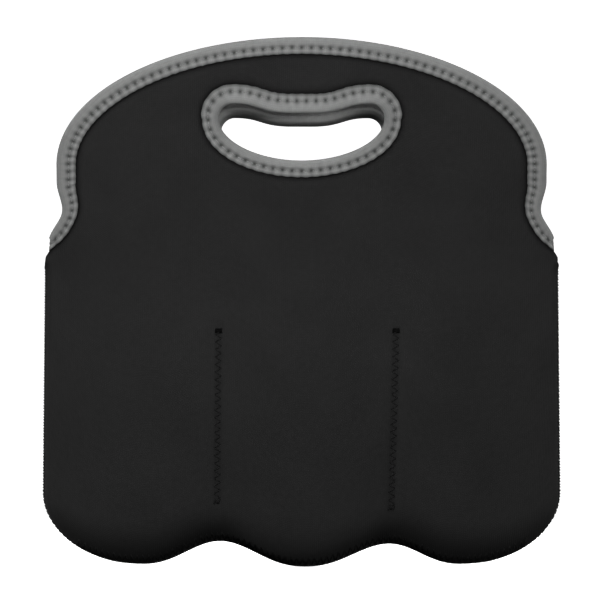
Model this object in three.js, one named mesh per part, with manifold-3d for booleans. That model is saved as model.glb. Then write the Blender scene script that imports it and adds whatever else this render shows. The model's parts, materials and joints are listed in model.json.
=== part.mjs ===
// A soft neoprene carrier for six bottles. Two padded panels are sewn edge to edge along the sides
// and the scalloped bottom, a centre divider and four pocket walls part the inside, and above the
// side seams each panel runs up as a free handle leaf with a bound hand hole.
// Millimetres, +Z up. The front faces -Y, and the origin is on the floor, under the middle of the bag.

import * as THREE from 'three';
import { mergeVertices } from 'three/addons/utils/BufferGeometryUtils.js';
import Module from 'manifold-3d';

const wasm = await Module();
wasm.setup();

// Sheets, tape and thread
const PANEL_THICK = 4;
const WALL_THICK = 3;
const TAPE_THICK = 0.9;
const TAPE_WIDTH = 9.4; // from the folded edge of the tape to its sewn edge
const THREAD_THICK = 0.8;
const SEAT = 0.3; // clearance between pieces that are sewn together

// Envelope, measured over the outside of the empty bag
const BAG_WIDTH = 294.6;
const BELLY_DEPTH = 58;
const BELLY_HEIGHT = 85; // the bag is fullest up to here
const NECK_WIDTH = 273.2; // over the binding, at the fold of the handle leaves
const NECK_DEPTH = 28;
const NECK_HEIGHT = 203;
const NOTCH_HEIGHT = 29; // from the top of the side seams up to the fold
const FLARE_LENGTH = 8; // how far below the seam's top the panels begin to part
const SIDE_ROLL = 3.4; // radius of the middle of the sheet where it rolls into a side seam

// Scalloped bottom
const POCKET_WIDTH = 96; // between the two divider seams
const POCKET_SHIFT = 1.8; // the middle pocket lies this far to the right
const SCALLOP_RISE = 14.3;
const CORNER_WIDTH = 55.9; // from a side lobe's lowest point to the bag's side
const CORNER_HEIGHT = 40;
const BOTTOM_ROUND = 24; // height over which the panels round under
const FLOOR_FLAT = 0.8; // depth of the flats where the lobes stand on the floor

// Sewing
const STITCH_PITCH = 4.2; // one zig and one zag
const BUTT_SEAM_WIDTH = 6;
const BUTT_SEAM_START = 6; // from the corner's top to the lowest stitch of a side seam
const BUTT_SEAM_FADE = 2.4; // beyond the stitches' ends, where the sheet is thick again
const BUTT_SEAM_MARGIN = 0.6; // between the stitches' ends and that fade
const BUTT_SEAM_PINCH = 2.1; // how deep the stitches press into the sheet
const DIVIDER_SEAM_WIDTH = 3.4;
const DIVIDER_SEAM_TUCK = 1.8; // how far the pocket walls pull the panel in
const TUCK_REACH = 10; // to each side of a divider seam, and below its top
const BAR_TACK = { width: 5.6, height: 3.4 };

// Pockets
const WALL_BOTTOM = 34;
const WALL_TOP = 133;
const WALL_LENGTH = 31; // front to back along the sheet: a bottle's radius

// Handle leaves, measured in the plane of the leaf from the fold up and over the binding
const LEAF_LEAN = 12; // degrees outwards at rest
const LEAF_HEIGHT = 98.1;
const SHOULDER_WIDTH = 279.2;
const SHOULDER_START = 16; // the waist ends here
const SHOULDER_END = 25.5; // the arch begins here
const LEAF_LEAN_LIMIT = 75; // degrees from upright that the fold leaves room for
const FOLD_CHAMFER = 45; // degrees, on the outer side of the panel's top edge
const BINDING_END_GAP = 2.5; // from the fold to each cut end of the binding

// Hand hole, inside its binding
const HOLE_WIDTH = 94;
const HOLE_BOTTOM = 28.2;
const HOLE_WIDEST = 52;
const HOLE_PEAK = 60.3;
const HOLE_PEAK_SPAN = 78;
const HOLE_DIP = 54.9; // the grip bar hangs down to here in the middle
const GRIP_FLAT = 12; // straight stretch in the middle of the grip bar

// Fineness of the facets
const COLUMNS = 16; // to each side of the middle
const BOTTOM_ROWS = 8;
const BODY_ROWS = 5;
const FLARE_ROWS = 2;
const NECK_ROWS = 4;
const WALL_ROWS = 7;
const CURVE_STEPS = 10;
const ROW_CROWDING = 1.5; // how much closer the rows lie towards the bottom seam
const OUTLINE_STEPS = 2000; // for measuring along the lower outline
const SEARCH_STEPS = 30;

const { clamp, degToRad, lerp, smoothstep } = THREE.MathUtils;

const HALF_PANEL = PANEL_THICK / 2;
const HALF_WALL = WALL_THICK / 2;
const HALF_THREAD = THREAD_THICK / 2;
const TAPE_OUT = TAPE_THICK + SEAT; // from the edge of a sheet to the outside of its binding
const SEAM_HALF = HALF_PANEL - BUTT_SEAM_PINCH; // the sheet's outer half thickness at a butt seam
const SIDE = BAG_WIDTH / 2 - SEAM_HALF - SEAT - THREAD_THICK; // middle of the sheet at the side seam
const NECK = NECK_WIDTH / 2 - TAPE_OUT; // edge of the sheet at the neck
const BELLY_Y = BELLY_DEPTH / 2 - HALF_PANEL;
const NECK_Y = NECK_DEPTH / 2 - HALF_PANEL;
const FOLD_Y = NECK_Y + SEAT / 2;
const SIDE_SEAM_TOP = NECK_HEIGHT - NOTCH_HEIGHT; // the two panels part above this height
const FLARE_START = SIDE_SEAM_TOP - FLARE_LENGTH;
const HALF_SLOT = HALF_PANEL + SEAT; // inside the folded binding
const HALF_TAPE = HALF_SLOT + TAPE_THICK;
const TAPE_IN = TAPE_WIDTH - TAPE_OUT; // how far the binding reaches in from the sheet's edge
const BINDING_START = SIDE_SEAM_TOP + HALF_TAPE; // height of the binding's lower ends
const DIVIDER_X = [POCKET_SHIFT - POCKET_WIDTH / 2, POCKET_SHIFT + POCKET_WIDTH / 2];
const LOBE_X = BAG_WIDTH / 2 - CORNER_WIDTH;

const LENS_POWER = 2.2; // how full the bag's plan is: 2 is a parabola
const BOTTOM_POWER = 3; // how square the bottom's section is: 2 is round
const ROUND_RATIO = 1.2; // height to depth of the bottom's section near the corners

const FRONT = -1;
const BACK = 1;
const SIDES = { front: FRONT, back: BACK };

const halfCosine = (t) => (1 - Math.cos(Math.PI * clamp(t, 0, 1))) / 2;

// Solids and cuts

function solid(geometry) {
  const bare = new THREE.BufferGeometry();
  bare.setAttribute('position', geometry.getAttribute('position'));
  bare.setIndex(geometry.getIndex());
  const merged = mergeVertices(bare, 1e-4);
  const vertProperties = new Float32Array(merged.getAttribute('position').array);
  const triVerts = new Uint32Array(merged.getIndex().array);
  return new wasm.Manifold(new wasm.Mesh({ numProp: 3, vertProperties, triVerts }));
}

function geometryOf(manifold) {
  const { vertProperties, triVerts } = manifold.getMesh();
  const geometry = new THREE.BufferGeometry();
  geometry.setAttribute('position', new THREE.BufferAttribute(vertProperties, 3));
  geometry.setIndex(new THREE.BufferAttribute(triVerts, 1));
  geometry.computeVertexNormals();
  return geometry;
}

function signedVolume(points, faces) {
  const normal = new THREE.Vector3();
  return faces.reduce((sum, [a, b, c]) => sum + points[a].dot(normal.crossVectors(points[b], points[c])), 0);
}

// A closed geometry from points and triangles, turned so that its faces point out.
function closedGeometry(points, faces) {
  const outward = signedVolume(points, faces) > 0 ? faces : faces.map(([a, b, c]) => [a, c, b]);
  const geometry = new THREE.BufferGeometry().setFromPoints(points);
  geometry.setIndex(outward.flat());
  geometry.computeVertexNormals();
  return geometry;
}

const quad = (a, b, c, d) => [[a, b, c], [a, c, d]];

// A sheet between two grids of points that have the same rows and columns.
function thickSheet(outer, inner) {
  const rows = outer.length;
  const columns = outer[0].length;
  const count = rows * columns;
  const at = (row, column) => row * columns + column;
  const faces = [];
  for (let r = 0; r < rows - 1; r += 1) {
    for (let c = 0; c < columns - 1; c += 1) {
      const corners = [at(r, c), at(r, c + 1), at(r + 1, c + 1), at(r + 1, c)];
      faces.push(...quad(...corners));
      faces.push(...quad(...corners.map((corner) => corner + count).reverse()));
    }
  }
  const rim = [];
  for (let c = 0; c < columns; c += 1) rim.push(at(0, c));
  for (let r = 1; r < rows; r += 1) rim.push(at(r, columns - 1));
  for (let c = columns - 2; c >= 0; c -= 1) rim.push(at(rows - 1, c));
  for (let r = rows - 2; r > 0; r -= 1) rim.push(at(r, 0));
  rim.forEach((a, i) => {
    const b = rim[(i + 1) % rim.length];
    faces.push(...quad(b, a, a + count, b + count));
  });
  return closedGeometry([...outer.flat(), ...inner.flat()], faces);
}

// A solid through sections that have as many points as the plan, which shows how its ends close.
function loft(sections, plan) {
  const sides = plan.length;
  const faces = [];
  for (let i = 0; i < sections.length - 1; i += 1) {
    for (let j = 0; j < sides; j += 1) {
      const next = (j + 1) % sides;
      const low = i * sides;
      faces.push(...quad(low + j, low + next, low + sides + next, low + sides + j));
    }
  }
  const last = (sections.length - 1) * sides;
  const turns = THREE.ShapeUtils.isClockWise(plan) ? -1 : 1;
  for (const [a, b, c] of THREE.ShapeUtils.triangulateShape(plan, [])) {
    const [second, third] = turns > 0 ? [c, b] : [b, c];
    faces.push([a, second, third], [last + a, last + third, last + second]);
  }
  return closedGeometry(sections.flat(), faces);
}

// A thread's section: the first number runs across it and the second out from what it lies on.
const THREAD_SECTION = [[1, -0.6], [0, 1], [-1, -0.6]].map(([x, y]) =>
  new THREE.Vector2(x * HALF_THREAD, y * HALF_THREAD));

// A thread along points, each with the outward normal of what it lies on.
function threadGeometry(points, normals) {
  const sections = points.map((point, i) => {
    const before = points[Math.max(i - 1, 0)];
    const after = points[Math.min(i + 1, points.length - 1)];
    const along = after.clone().sub(before).normalize();
    const across = along.clone().cross(normals[i]).normalize();
    const out = across.clone().cross(along);
    return THREAD_SECTION.map(({ x, y }) =>
      point.clone().addScaledVector(across, x).addScaledVector(out, y));
  });
  return loft(sections, THREAD_SECTION);
}

// The body's surface

const SCALLOPS = [
  [-LOBE_X, 0],
  [DIVIDER_X[0], SCALLOP_RISE],
  [POCKET_SHIFT, 0],
  [DIVIDER_X[1], SCALLOP_RISE],
  [LOBE_X, 0],
];

// Height of the bag's lower outline above its lowest points.
function bottomRise(x) {
  const past = Math.abs(x) - LOBE_X;
  if (past > 0) {
    const across = Math.min(past / (SIDE - LOBE_X), 1);
    return CORNER_HEIGHT * (1 - Math.sqrt(1 - across * across));
  }
  const i = Math.min(SCALLOPS.findLastIndex(([low]) => low <= x), SCALLOPS.length - 2);
  const [[fromX, fromZ], [toX, toZ]] = SCALLOPS.slice(i, i + 2);
  return lerp(fromZ, toZ, halfCosine((x - fromX) / (toX - fromX)));
}

const foot = (s) => HALF_PANEL - FLOOR_FLAT + bottomRise(s * SIDE);
const fullness = (s) => 1 - Math.abs(s) ** LENS_POWER;

const bottomRound = (s) =>
  Math.min(BOTTOM_ROUND, ROUND_RATIO * lerp(SIDE_ROLL, BELLY_Y, fullness(s)));

// How much a divider seam draws the panel in, from 0 to 1.
function tuck(x, z) {
  const near = Math.max(...DIVIDER_X.map((seam) => 1 - Math.abs(x - seam) / TUCK_REACH), 0);
  return near * smoothstep(z, WALL_BOTTOM - TUCK_REACH, WALL_BOTTOM)
    * (1 - smoothstep(z, WALL_TOP, WALL_TOP + TUCK_REACH));
}

// How firmly the side seam holds the two panels together at a height: 1 is sewn, 0 is free.
const sewn = (z) => 1 - smoothstep(z, FLARE_START, SIDE_SEAM_TOP);

// The middle of a body panel's sheet, on the +Y side: s runs from the left seam, -1, to the right, 1,
// and h is the height above the panel's lower edge.
function sheetMiddle(s, h) {
  const z = foot(s) + h;
  const x = s * lerp(SIDE, NECK, halfCosine((z - SIDE_SEAM_TOP) / (NECK_HEIGHT - SIDE_SEAM_TOP)));
  const edge = lerp(SIDE_ROLL, NECK_Y, smoothstep(z, FLARE_START, NECK_HEIGHT));
  const centre = lerp(BELLY_Y, NECK_Y, halfCosine((z - BELLY_HEIGHT) / (NECK_HEIGHT - BELLY_HEIGHT)));
  const inset = Math.min(((1 - Math.abs(s)) * SIDE) / SIDE_ROLL, 1);
  const roll = lerp(1, Math.sqrt(1 - (1 - inset) ** 2), sewn(z));
  const under = 1 - Math.min(h / bottomRound(s), 1);
  const rounded = (1 - under ** BOTTOM_POWER) ** (1 / BOTTOM_POWER);
  const depth = edge * roll + (centre - edge) * fullness(s) - DIVIDER_SEAM_TUCK * tuck(x, z);
  return new THREE.Vector3(x, SEAT / 2 + depth * rounded, z);
}

const S_STEP = 1e-5;
const H_STEP = 0.01;

function sheetNormal(s, h) {
  const inS = clamp(s, S_STEP - 1, 1 - S_STEP);
  const inH = Math.max(h, H_STEP);
  const across = sheetMiddle(inS + S_STEP / 2, inH).sub(sheetMiddle(inS - S_STEP / 2, inH));
  const up = sheetMiddle(inS, inH + H_STEP / 2).sub(sheetMiddle(inS, inH - H_STEP / 2));
  return up.cross(across).normalize();
}

// How far a place on the sheet lies from the nearest butt seam.
function seamDistance(s, h) {
  const { y, z } = sheetMiddle(s, h);
  const inset = (1 - Math.abs(s)) * SIDE;
  const rolled = SIDE_ROLL * Math.acos(1 - Math.min(inset / SIDE_ROLL, 1));
  const fromSide = rolled + Math.max(inset - SIDE_ROLL, 0);
  const fromBottom = h < bottomRound(s) ? y : Infinity;
  return z > SIDE_SEAM_TOP ? Infinity : Math.min(fromSide, fromBottom);
}

// Half the sheet's thickness on the outside, where the butt seams press it down.
function outerHalf(s, h) {
  const fade = BUTT_SEAM_WIDTH / 2 + BUTT_SEAM_MARGIN;
  const near = 1 - smoothstep(seamDistance(s, h), fade, fade + BUTT_SEAM_FADE);
  return lerp(HALF_PANEL, SEAM_HALF, near * sewn(foot(s) + h));
}

// Columns crowd towards the sides and stand on each divider seam.
function columnStations() {
  const seams = DIVIDER_X.flatMap((x) => [x - TUCK_REACH, x, x + TUCK_REACH]).map((x) => x / SIDE);
  const stations = [...seams];
  const apart = TUCK_REACH / SIDE / 3;
  for (let i = -COLUMNS; i <= COLUMNS; i += 1) {
    const s = Math.sin((Math.PI / 2) * (i / COLUMNS));
    if (seams.every((seam) => Math.abs(seam - s) > apart)) stations.push(s);
  }
  return stations.sort((a, b) => a - b);
}

const UPPER_BANDS = [
  [FLARE_START, BODY_ROWS],
  [BINDING_START, FLARE_ROWS],
  [NECK_HEIGHT, NECK_ROWS],
];

// Heights of the rows above the lower edge: closer where the panel rounds under and at the neck.
function rowHeights(s) {
  const round = bottomRound(s);
  const heights = [];
  for (let k = 0; k < BOTTOM_ROWS; k += 1) {
    const angle = (Math.PI / 2) * (k / BOTTOM_ROWS) ** ROW_CROWDING;
    heights.push(round * (1 - Math.cos(angle) ** (2 / BOTTOM_POWER)));
  }
  heights.push(round);
  let from = round;
  for (const [z, rows] of UPPER_BANDS) {
    const to = z - foot(s);
    for (let k = 1; k <= rows; k += 1) heights.push(lerp(from, to, k / rows));
    from = to;
  }
  return heights;
}

const STATIONS = columnStations();

// A point of the faceted sheet and its normal, lifted off the middle by lift(s, h).
function gridPoint(side, s, h, lift) {
  const middle = sheetMiddle(s, h);
  const normal = sheetNormal(s, h);
  const point = middle.clone().addScaledVector(normal, lift(s, h));
  point.y *= side;
  normal.y *= side;
  return { point, normal };
}

// The place on the facets between the grid's points, so that what lies on the sheet follows it closely.
function sheetPoint(side, s, h, lift) {
  const c = clamp(STATIONS.findLastIndex((station) => station <= s), 0, STATIONS.length - 2);
  const heights = rowHeights(s);
  const r = clamp(heights.findLastIndex((height) => height <= h), 0, heights.length - 2);
  const acrossShare = (s - STATIONS[c]) / (STATIONS[c + 1] - STATIONS[c]);
  const upShare = (h - heights[r]) / (heights[r + 1] - heights[r]);
  const corner = (column, row) => {
    const station = STATIONS[column];
    return gridPoint(side, station, rowHeights(station)[row], lift);
  };
  const between = (a, b, share) => ({
    point: a.point.lerp(b.point, share),
    normal: a.normal.lerp(b.normal, share),
  });
  const low = between(corner(c, r), corner(c + 1, r), acrossShare);
  const high = between(corner(c, r + 1), corner(c + 1, r + 1), acrossShare);
  const place = between(low, high, upShare);
  place.normal.normalize();
  return place;
}

const onOutside = (s, h) => outerHalf(s, h) + SEAT + HALF_THREAD;
const onInside = () => -HALF_PANEL;

// Panels

// A bar along X whose section is a polygon of (y, z) points.
function barAlongX(section, length) {
  const shape = new THREE.Shape(section.map(([y, z]) => new THREE.Vector2(y, z)));
  const bar = new THREE.ExtrudeGeometry(shape, { depth: length, bevelEnabled: false });
  bar.translate(0, 0, -length / 2);
  const turn = new THREE.Matrix4().makeBasis(
    new THREE.Vector3(0, 1, 0),
    new THREE.Vector3(0, 0, 1),
    new THREE.Vector3(1, 0, 0),
  );
  return bar.applyMatrix4(turn);
}

const FOLD_REACH = 2 * PANEL_THICK;
const slope = (degrees) => FOLD_REACH * Math.tan(degToRad(degrees));

// What is taken off the top of a body panel: level inside the fold line, and chamfered outside it.
function panelFoldCut(side) {
  const section = [
    [0, -SEAT / 2],
    [side * FOLD_REACH, -SEAT / 2 - slope(FOLD_CHAMFER)],
    [side * FOLD_REACH, FOLD_REACH],
    [-side * FOLD_REACH, FOLD_REACH],
    [-side * FOLD_REACH, -SEAT / 2],
  ];
  return barAlongX(section, BAG_WIDTH).translate(0, side * FOLD_Y, NECK_HEIGHT);
}

function floorCut() {
  const block = new THREE.BoxGeometry(BAG_WIDTH * 2, BELLY_DEPTH * 2, FOLD_REACH);
  return block.translate(0, 0, -FOLD_REACH / 2);
}

function panelGeometry(side) {
  const surface = (lift) => rowHeights(0).map((_, row) =>
    STATIONS.map((s) => gridPoint(side, s, rowHeights(s)[row], lift).point));
  const sheet = thickSheet(surface(outerHalf), surface(onInside));
  return geometryOf(solid(sheet).subtract(solid(panelFoldCut(side))).subtract(solid(floorCut())));
}

// Pockets

// Where the inner face of a panel meets the divider seam at x, at a height.
const innerFace = (x, z) => sheetPoint(BACK, x / SIDE, z - foot(x / SIDE), onInside).point;

// How far out the centre divider reaches before the panels close on it.
function dividerReach() {
  let near = 0;
  let far = 1;
  for (let i = 0; i < SEARCH_STEPS; i += 1) {
    const s = (near + far) / 2;
    const room = Math.min(...[WALL_BOTTOM, WALL_TOP].map((z) => innerFace(s * SIDE, z).y));
    if (room > HALF_WALL + SEAT) near = s;
    else far = s;
  }
  return Math.min(...[WALL_BOTTOM, WALL_TOP].map((z) => innerFace(near * SIDE, z).x));
}

function centreDividerGeometry() {
  const width = 2 * dividerReach();
  const height = WALL_TOP - WALL_BOTTOM;
  return new THREE.BoxGeometry(width, WALL_THICK, height).translate(0, 0, WALL_BOTTOM + height / 2);
}

// A pocket wall bows towards the middle pocket, because it is longer than the empty bag is deep.
function pocketWallGeometry(side, seam) {
  const toMiddle = Math.sign(POCKET_SHIFT - seam);
  const section = (z) => {
    const start = HALF_WALL + SEAT;
    const span = innerFace(seam, z).y - SEAT - start;
    const bow = ((2 * span) / Math.PI) * Math.sqrt(Math.max(WALL_LENGTH / span - 1, 0));
    const line = (offset) => Array.from({ length: CURVE_STEPS + 1 }, (_, i) => {
      const t = i / CURVE_STEPS;
      const lean = (Math.PI * bow * Math.sin(2 * Math.PI * t)) / span;
      const level = Math.hypot(1, lean);
      const x = seam + toMiddle * (bow * Math.sin(Math.PI * t) ** 2 + offset / level);
      const y = start + span * t - (offset * lean) / level;
      return new THREE.Vector3(x, side * y, z);
    });
    return [...line(-HALF_WALL), ...line(HALF_WALL).reverse()];
  };
  const sections = Array.from({ length: WALL_ROWS + 1 }, (_, i) =>
    section(lerp(WALL_BOTTOM, WALL_TOP, i / WALL_ROWS)));
  return loft(sections, sections[0].map(({ x, y }) => new THREE.Vector2(x, y)));
}

// Seams

const SEAM_REACH = 0.8; // the most of the sheet's depth that a butt seam's stitches cover

// How far a butt seam's stitches reach to the front and back of the joint.
const seamDepth = (s) =>
  Math.min(BUTT_SEAM_WIDTH / 2, SEAM_REACH * lerp(SIDE_ROLL, BELLY_Y, fullness(s)));

// A zigzag over the joint of the two panels: each stop is [s, h] at the joint and at the stitch's end.
function buttSeamGeometry(joints, ends) {
  const points = [];
  const normals = [];
  const push = ({ point, normal }) => {
    points.push(point);
    normals.push(normal);
  };
  joints.forEach((joint, i) => {
    const side = i % 2 ? BACK : FRONT;
    push(sheetPoint(side, ...ends[i], onOutside));
    if (i === joints.length - 1) return;
    const place = sheetPoint(side, ...joint, onOutside);
    place.point.y = 0;
    place.normal.setY(0).normalize();
    push(place);
  });
  return threadGeometry(points, normals);
}

function sideSeamGeometry(side) {
  const run = FLARE_START - foot(1) - BUTT_SEAM_START;
  const count = Math.round(run / (STITCH_PITCH / 2));
  const step = run / count;
  const inset = SIDE_ROLL * (1 - Math.sqrt(1 - (seamDepth(1) / SIDE_ROLL) ** 2));
  const s = 1 - inset / SIDE;
  const joints = [];
  const ends = [];
  for (let i = 0; i < count; i += 1) {
    const h = BUTT_SEAM_START + i * step;
    joints.push([side, h + step / 2]);
    ends.push([side * s, h + foot(1) - foot(s)]);
  }
  return buttSeamGeometry(joints, ends);
}

// Stops along the lower outline, a half pitch apart.
function bottomStops() {
  const stops = [];
  let last = null;
  let run = 0;
  for (let i = 1; i < OUTLINE_STEPS; i += 1) {
    const s = Math.sin(Math.PI * (i / OUTLINE_STEPS - 0.5));
    const here = new THREE.Vector2(s * SIDE, foot(s));
    if (last) run += here.distanceTo(last);
    last = here;
    if (run >= STITCH_PITCH / 2) {
      stops.push(s);
      run = 0;
    }
  }
  return stops;
}

function bottomSeamGeometry() {
  const stops = bottomStops();
  const joints = stops.map((s, i) => [(s + (stops[i + 1] ?? s)) / 2, 0]);
  const ends = stops.map((s) => {
    const share = seamDepth(s) / lerp(SIDE_ROLL, BELLY_Y, fullness(s));
    return [s, bottomRound(s) * (1 - (1 - share ** BOTTOM_POWER) ** (1 / BOTTOM_POWER))];
  });
  return buttSeamGeometry(joints, ends);
}

// A zigzag down a divider seam, with a bar tack across each end.
function dividerSeamGeometry(side, seam) {
  const place = (x, z, lift) => sheetPoint(side, x / SIDE, z - foot(x / SIDE), lift);
  const count = Math.floor((WALL_TOP - WALL_BOTTOM) / (STITCH_PITCH / 2));
  const stops = Array.from({ length: count + 1 }, (_, i) => {
    const x = seam + (i % 2 ? 1 : -1) * (DIVIDER_SEAM_WIDTH / 2);
    return place(x, lerp(WALL_BOTTOM, WALL_TOP, i / count), onOutside);
  });
  const thread = threadGeometry(stops.map(({ point }) => point), stops.map(({ normal }) => normal));
  let seamSolid = solid(thread);
  for (const z of [WALL_BOTTOM, WALL_TOP]) {
    const { point, normal } = place(seam, z, onOutside);
    const shrugged = (DIVIDER_SEAM_TUCK * BAR_TACK.width) / (2 * TUCK_REACH);
    const along = new THREE.Vector3(0, 0, 1).addScaledVector(normal, -normal.z).normalize();
    const across = along.clone().cross(normal);
    const tack = new THREE.BoxGeometry(BAR_TACK.width, BAR_TACK.height, THREAD_THICK);
    tack.applyMatrix4(new THREE.Matrix4().makeBasis(across, along, normal));
    tack.translate(...point.addScaledVector(normal, shrugged).toArray());
    seamSolid = seamSolid.add(solid(tack));
  }
  return geometryOf(seamSolid);
}

// Binding on the free edge of a body panel, from the side seam up to the fold

// The folded tape's section: x points out from the edge it binds, y through the sheet.
const TAPE_SECTION = [
  [-TAPE_IN, -HALF_TAPE], [TAPE_OUT, -HALF_TAPE], [TAPE_OUT, HALF_TAPE], [-TAPE_IN, HALF_TAPE],
  [-TAPE_IN, HALF_SLOT], [SEAT, HALF_SLOT], [SEAT, -HALF_SLOT], [-TAPE_IN, -HALF_SLOT],
].map(([x, y]) => new THREE.Vector2(x, y));

function bindingEndGeometry(side, edge) {
  const sewnEdge = 1 - TAPE_IN / NECK;
  const low = BINDING_START - foot(1);
  const high = NECK_HEIGHT - BINDING_END_GAP - foot(1);
  const stops = [...rowHeights(1).filter((h) => h > low - SEAT && h < high), high];
  const sections = stops.map((h) => TAPE_SECTION.map(({ x, y }) => {
    const lift = () => y;
    const inside = sheetPoint(side, edge * sewnEdge, h + foot(1) - foot(sewnEdge), lift).point;
    const outside = sheetPoint(side, edge, h, lift).point;
    const out = outside.clone().sub(inside).normalize();
    return x < 0 ? inside : outside.addScaledVector(out, x);
  }));
  return loft(sections, TAPE_SECTION);
}

// Handle leaves, drawn flat: x across, y up the leaf from the fold

// The edge of the leaf's sheet, from the right end of the fold round to the left.
function leafEdge() {
  const shoulder = SHOULDER_WIDTH / 2 - TAPE_OUT;
  const rise = LEAF_HEIGHT - TAPE_OUT - SHOULDER_END;
  const middle = SHOULDER_START / 2;
  const path = new THREE.Path();
  path.moveTo(NECK, 0);
  path.bezierCurveTo(NECK, middle, shoulder, middle, shoulder, SHOULDER_START);
  path.lineTo(shoulder, SHOULDER_END);
  path.absellipse(0, SHOULDER_END, shoulder, rise, 0, Math.PI, false);
  path.lineTo(-shoulder, SHOULDER_START);
  path.bezierCurveTo(-shoulder, middle, -NECK, middle, -NECK, 0);
  return path.getPoints(CURVE_STEPS);
}

// The opening inside its binding: a bean that the grip bar hangs into. The three shares set how far
// the curve's handles reach towards the next corner.
const HOLE_CURVE = { bottom: 0.52, side: 0.55, peak: 0.45 };

function holeEdge() {
  const half = HOLE_WIDTH / 2;
  const peak = HOLE_PEAK_SPAN / 2;
  const flat = GRIP_FLAT / 2;
  const wide = half * HOLE_CURVE.bottom;
  const low = lerp(HOLE_WIDEST, HOLE_BOTTOM, HOLE_CURVE.side);
  const high = lerp(HOLE_WIDEST, HOLE_PEAK, HOLE_CURVE.side);
  const outer = lerp(half, peak, HOLE_CURVE.peak);
  const inner = lerp(peak, flat, HOLE_CURVE.peak);
  const path = new THREE.Path();
  path.moveTo(0, HOLE_BOTTOM);
  path.bezierCurveTo(wide, HOLE_BOTTOM, half, low, half, HOLE_WIDEST);
  path.bezierCurveTo(half, high, outer, HOLE_PEAK, peak, HOLE_PEAK);
  path.bezierCurveTo(inner, HOLE_PEAK, inner, HOLE_DIP, flat, HOLE_DIP);
  path.lineTo(-flat, HOLE_DIP);
  path.bezierCurveTo(-inner, HOLE_DIP, -inner, HOLE_PEAK, -peak, HOLE_PEAK);
  path.bezierCurveTo(-outer, HOLE_PEAK, -half, high, -half, HOLE_WIDEST);
  path.bezierCurveTo(-half, low, -wide, HOLE_BOTTOM, 0, HOLE_BOTTOM);
  return path.getPoints(CURVE_STEPS / 2).slice(0, -1);
}

// Moves each point of a run outwards, to the right of the way that the run goes.
function offsetRun(points, distance, closed) {
  const last = points.length - 1;
  return points.map((point, i) => {
    const before = points[closed && i === 0 ? last : Math.max(i - 1, 0)];
    const after = points[closed && i === last ? 0 : Math.min(i + 1, last)];
    const along = after.clone().sub(before).normalize();
    return new THREE.Vector2(point.x + along.y * distance, point.y - along.x * distance);
  });
}

// A flat outline made as thick as asked, standing in the plane of the leaf.
function standing(outline, holes, thick) {
  const shape = new THREE.Shape(outline);
  shape.holes = holes.map((hole) => new THREE.Path(hole));
  const geometry = new THREE.ExtrudeGeometry(shape, { depth: thick, bevelEnabled: false });
  return geometry.translate(0, 0, -thick / 2).rotateX(Math.PI / 2);
}

// What is taken off the bottom of a leaf, so that it can fold both ways over the panel below.
function leafFoldCut() {
  const outwards = LEAF_LEAN_LIMIT - FOLD_CHAMFER + LEAF_LEAN / 2;
  const section = [
    [0, SEAT / 2],
    [-FOLD_REACH, SEAT / 2 + slope(outwards)],
    [-FOLD_REACH, -FOLD_REACH],
    [FOLD_REACH, -FOLD_REACH],
    [FOLD_REACH, SEAT / 2 + slope(LEAF_LEAN)],
  ];
  return barAlongX(section, BAG_WIDTH);
}

function leafGeometry() {
  const hole = offsetRun(holeEdge(), TAPE_OUT, true);
  return geometryOf(solid(standing(leafEdge(), [hole], PANEL_THICK)).subtract(solid(leafFoldCut())));
}

function edgeBindingGeometry() {
  const edge = leafEdge();
  const above = edge.filter(({ y }) => y > BINDING_END_GAP);
  const [right, left] = [above[0], above[above.length - 1]];
  const run = [
    new THREE.Vector2(right.x, BINDING_END_GAP),
    ...above,
    new THREE.Vector2(left.x, BINDING_END_GAP),
  ];
  const band = [...offsetRun(run, TAPE_OUT, false), ...offsetRun(run, -TAPE_IN, false).reverse()];
  const slot = offsetRun(edge, SEAT, false);
  const tape = standing(band, [], 2 * HALF_TAPE);
  return geometryOf(solid(tape).subtract(solid(standing(slot, [], 2 * HALF_SLOT))));
}

function holeBindingGeometry() {
  const opening = holeEdge();
  const ring = standing(offsetRun(opening, TAPE_WIDTH, true), [opening], 2 * HALF_TAPE);
  const beyond = offsetRun(opening, TAPE_WIDTH + TAPE_OUT, true);
  const slot = standing(beyond, [offsetRun(opening, TAPE_THICK, true)], 2 * HALF_SLOT);
  return geometryOf(solid(ring).subtract(solid(slot)));
}

// The bag

const NEOPRENE = new THREE.MeshStandardMaterial({ color: 0x272727, roughness: 0.9, metalness: 0 });
const LINING = new THREE.MeshStandardMaterial({ color: 0x1f1f20, roughness: 0.9, metalness: 0 });
const TAPE = new THREE.MeshStandardMaterial({ color: 0x7c7e7c, roughness: 0.85, metalness: 0 });
const THREAD = new THREE.MeshStandardMaterial({ color: 0x191919, roughness: 0.6, metalness: 0 });

function piece(name, geometry, material) {
  const mesh = new THREE.Mesh(geometry, material.clone());
  mesh.name = name;
  return mesh;
}

function bagBody() {
  const body = new THREE.Group();
  for (const [face, side] of Object.entries(SIDES)) {
    body.add(piece(`${face}_panel`, panelGeometry(side), NEOPRENE));
    for (const [hand, i] of [['left', 0], ['right', 1]]) {
      const edge = i ? 1 : -1;
      body.add(
        piece(`${face}_${hand}_pocket_wall`, pocketWallGeometry(side, DIVIDER_X[i]), LINING),
        piece(`${face}_${hand}_divider_seam`, dividerSeamGeometry(side, DIVIDER_X[i]), THREAD),
        piece(`${face}_${hand}_binding_end`, bindingEndGeometry(side, edge), TAPE),
      );
    }
  }
  body.add(
    piece('centre_divider', centreDividerGeometry(), LINING),
    piece('left_side_seam', sideSeamGeometry(-1), THREAD),
    piece('right_side_seam', sideSeamGeometry(1), THREAD),
    piece('bottom_seam', bottomSeamGeometry(), THREAD),
  );
  return body;
}

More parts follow.
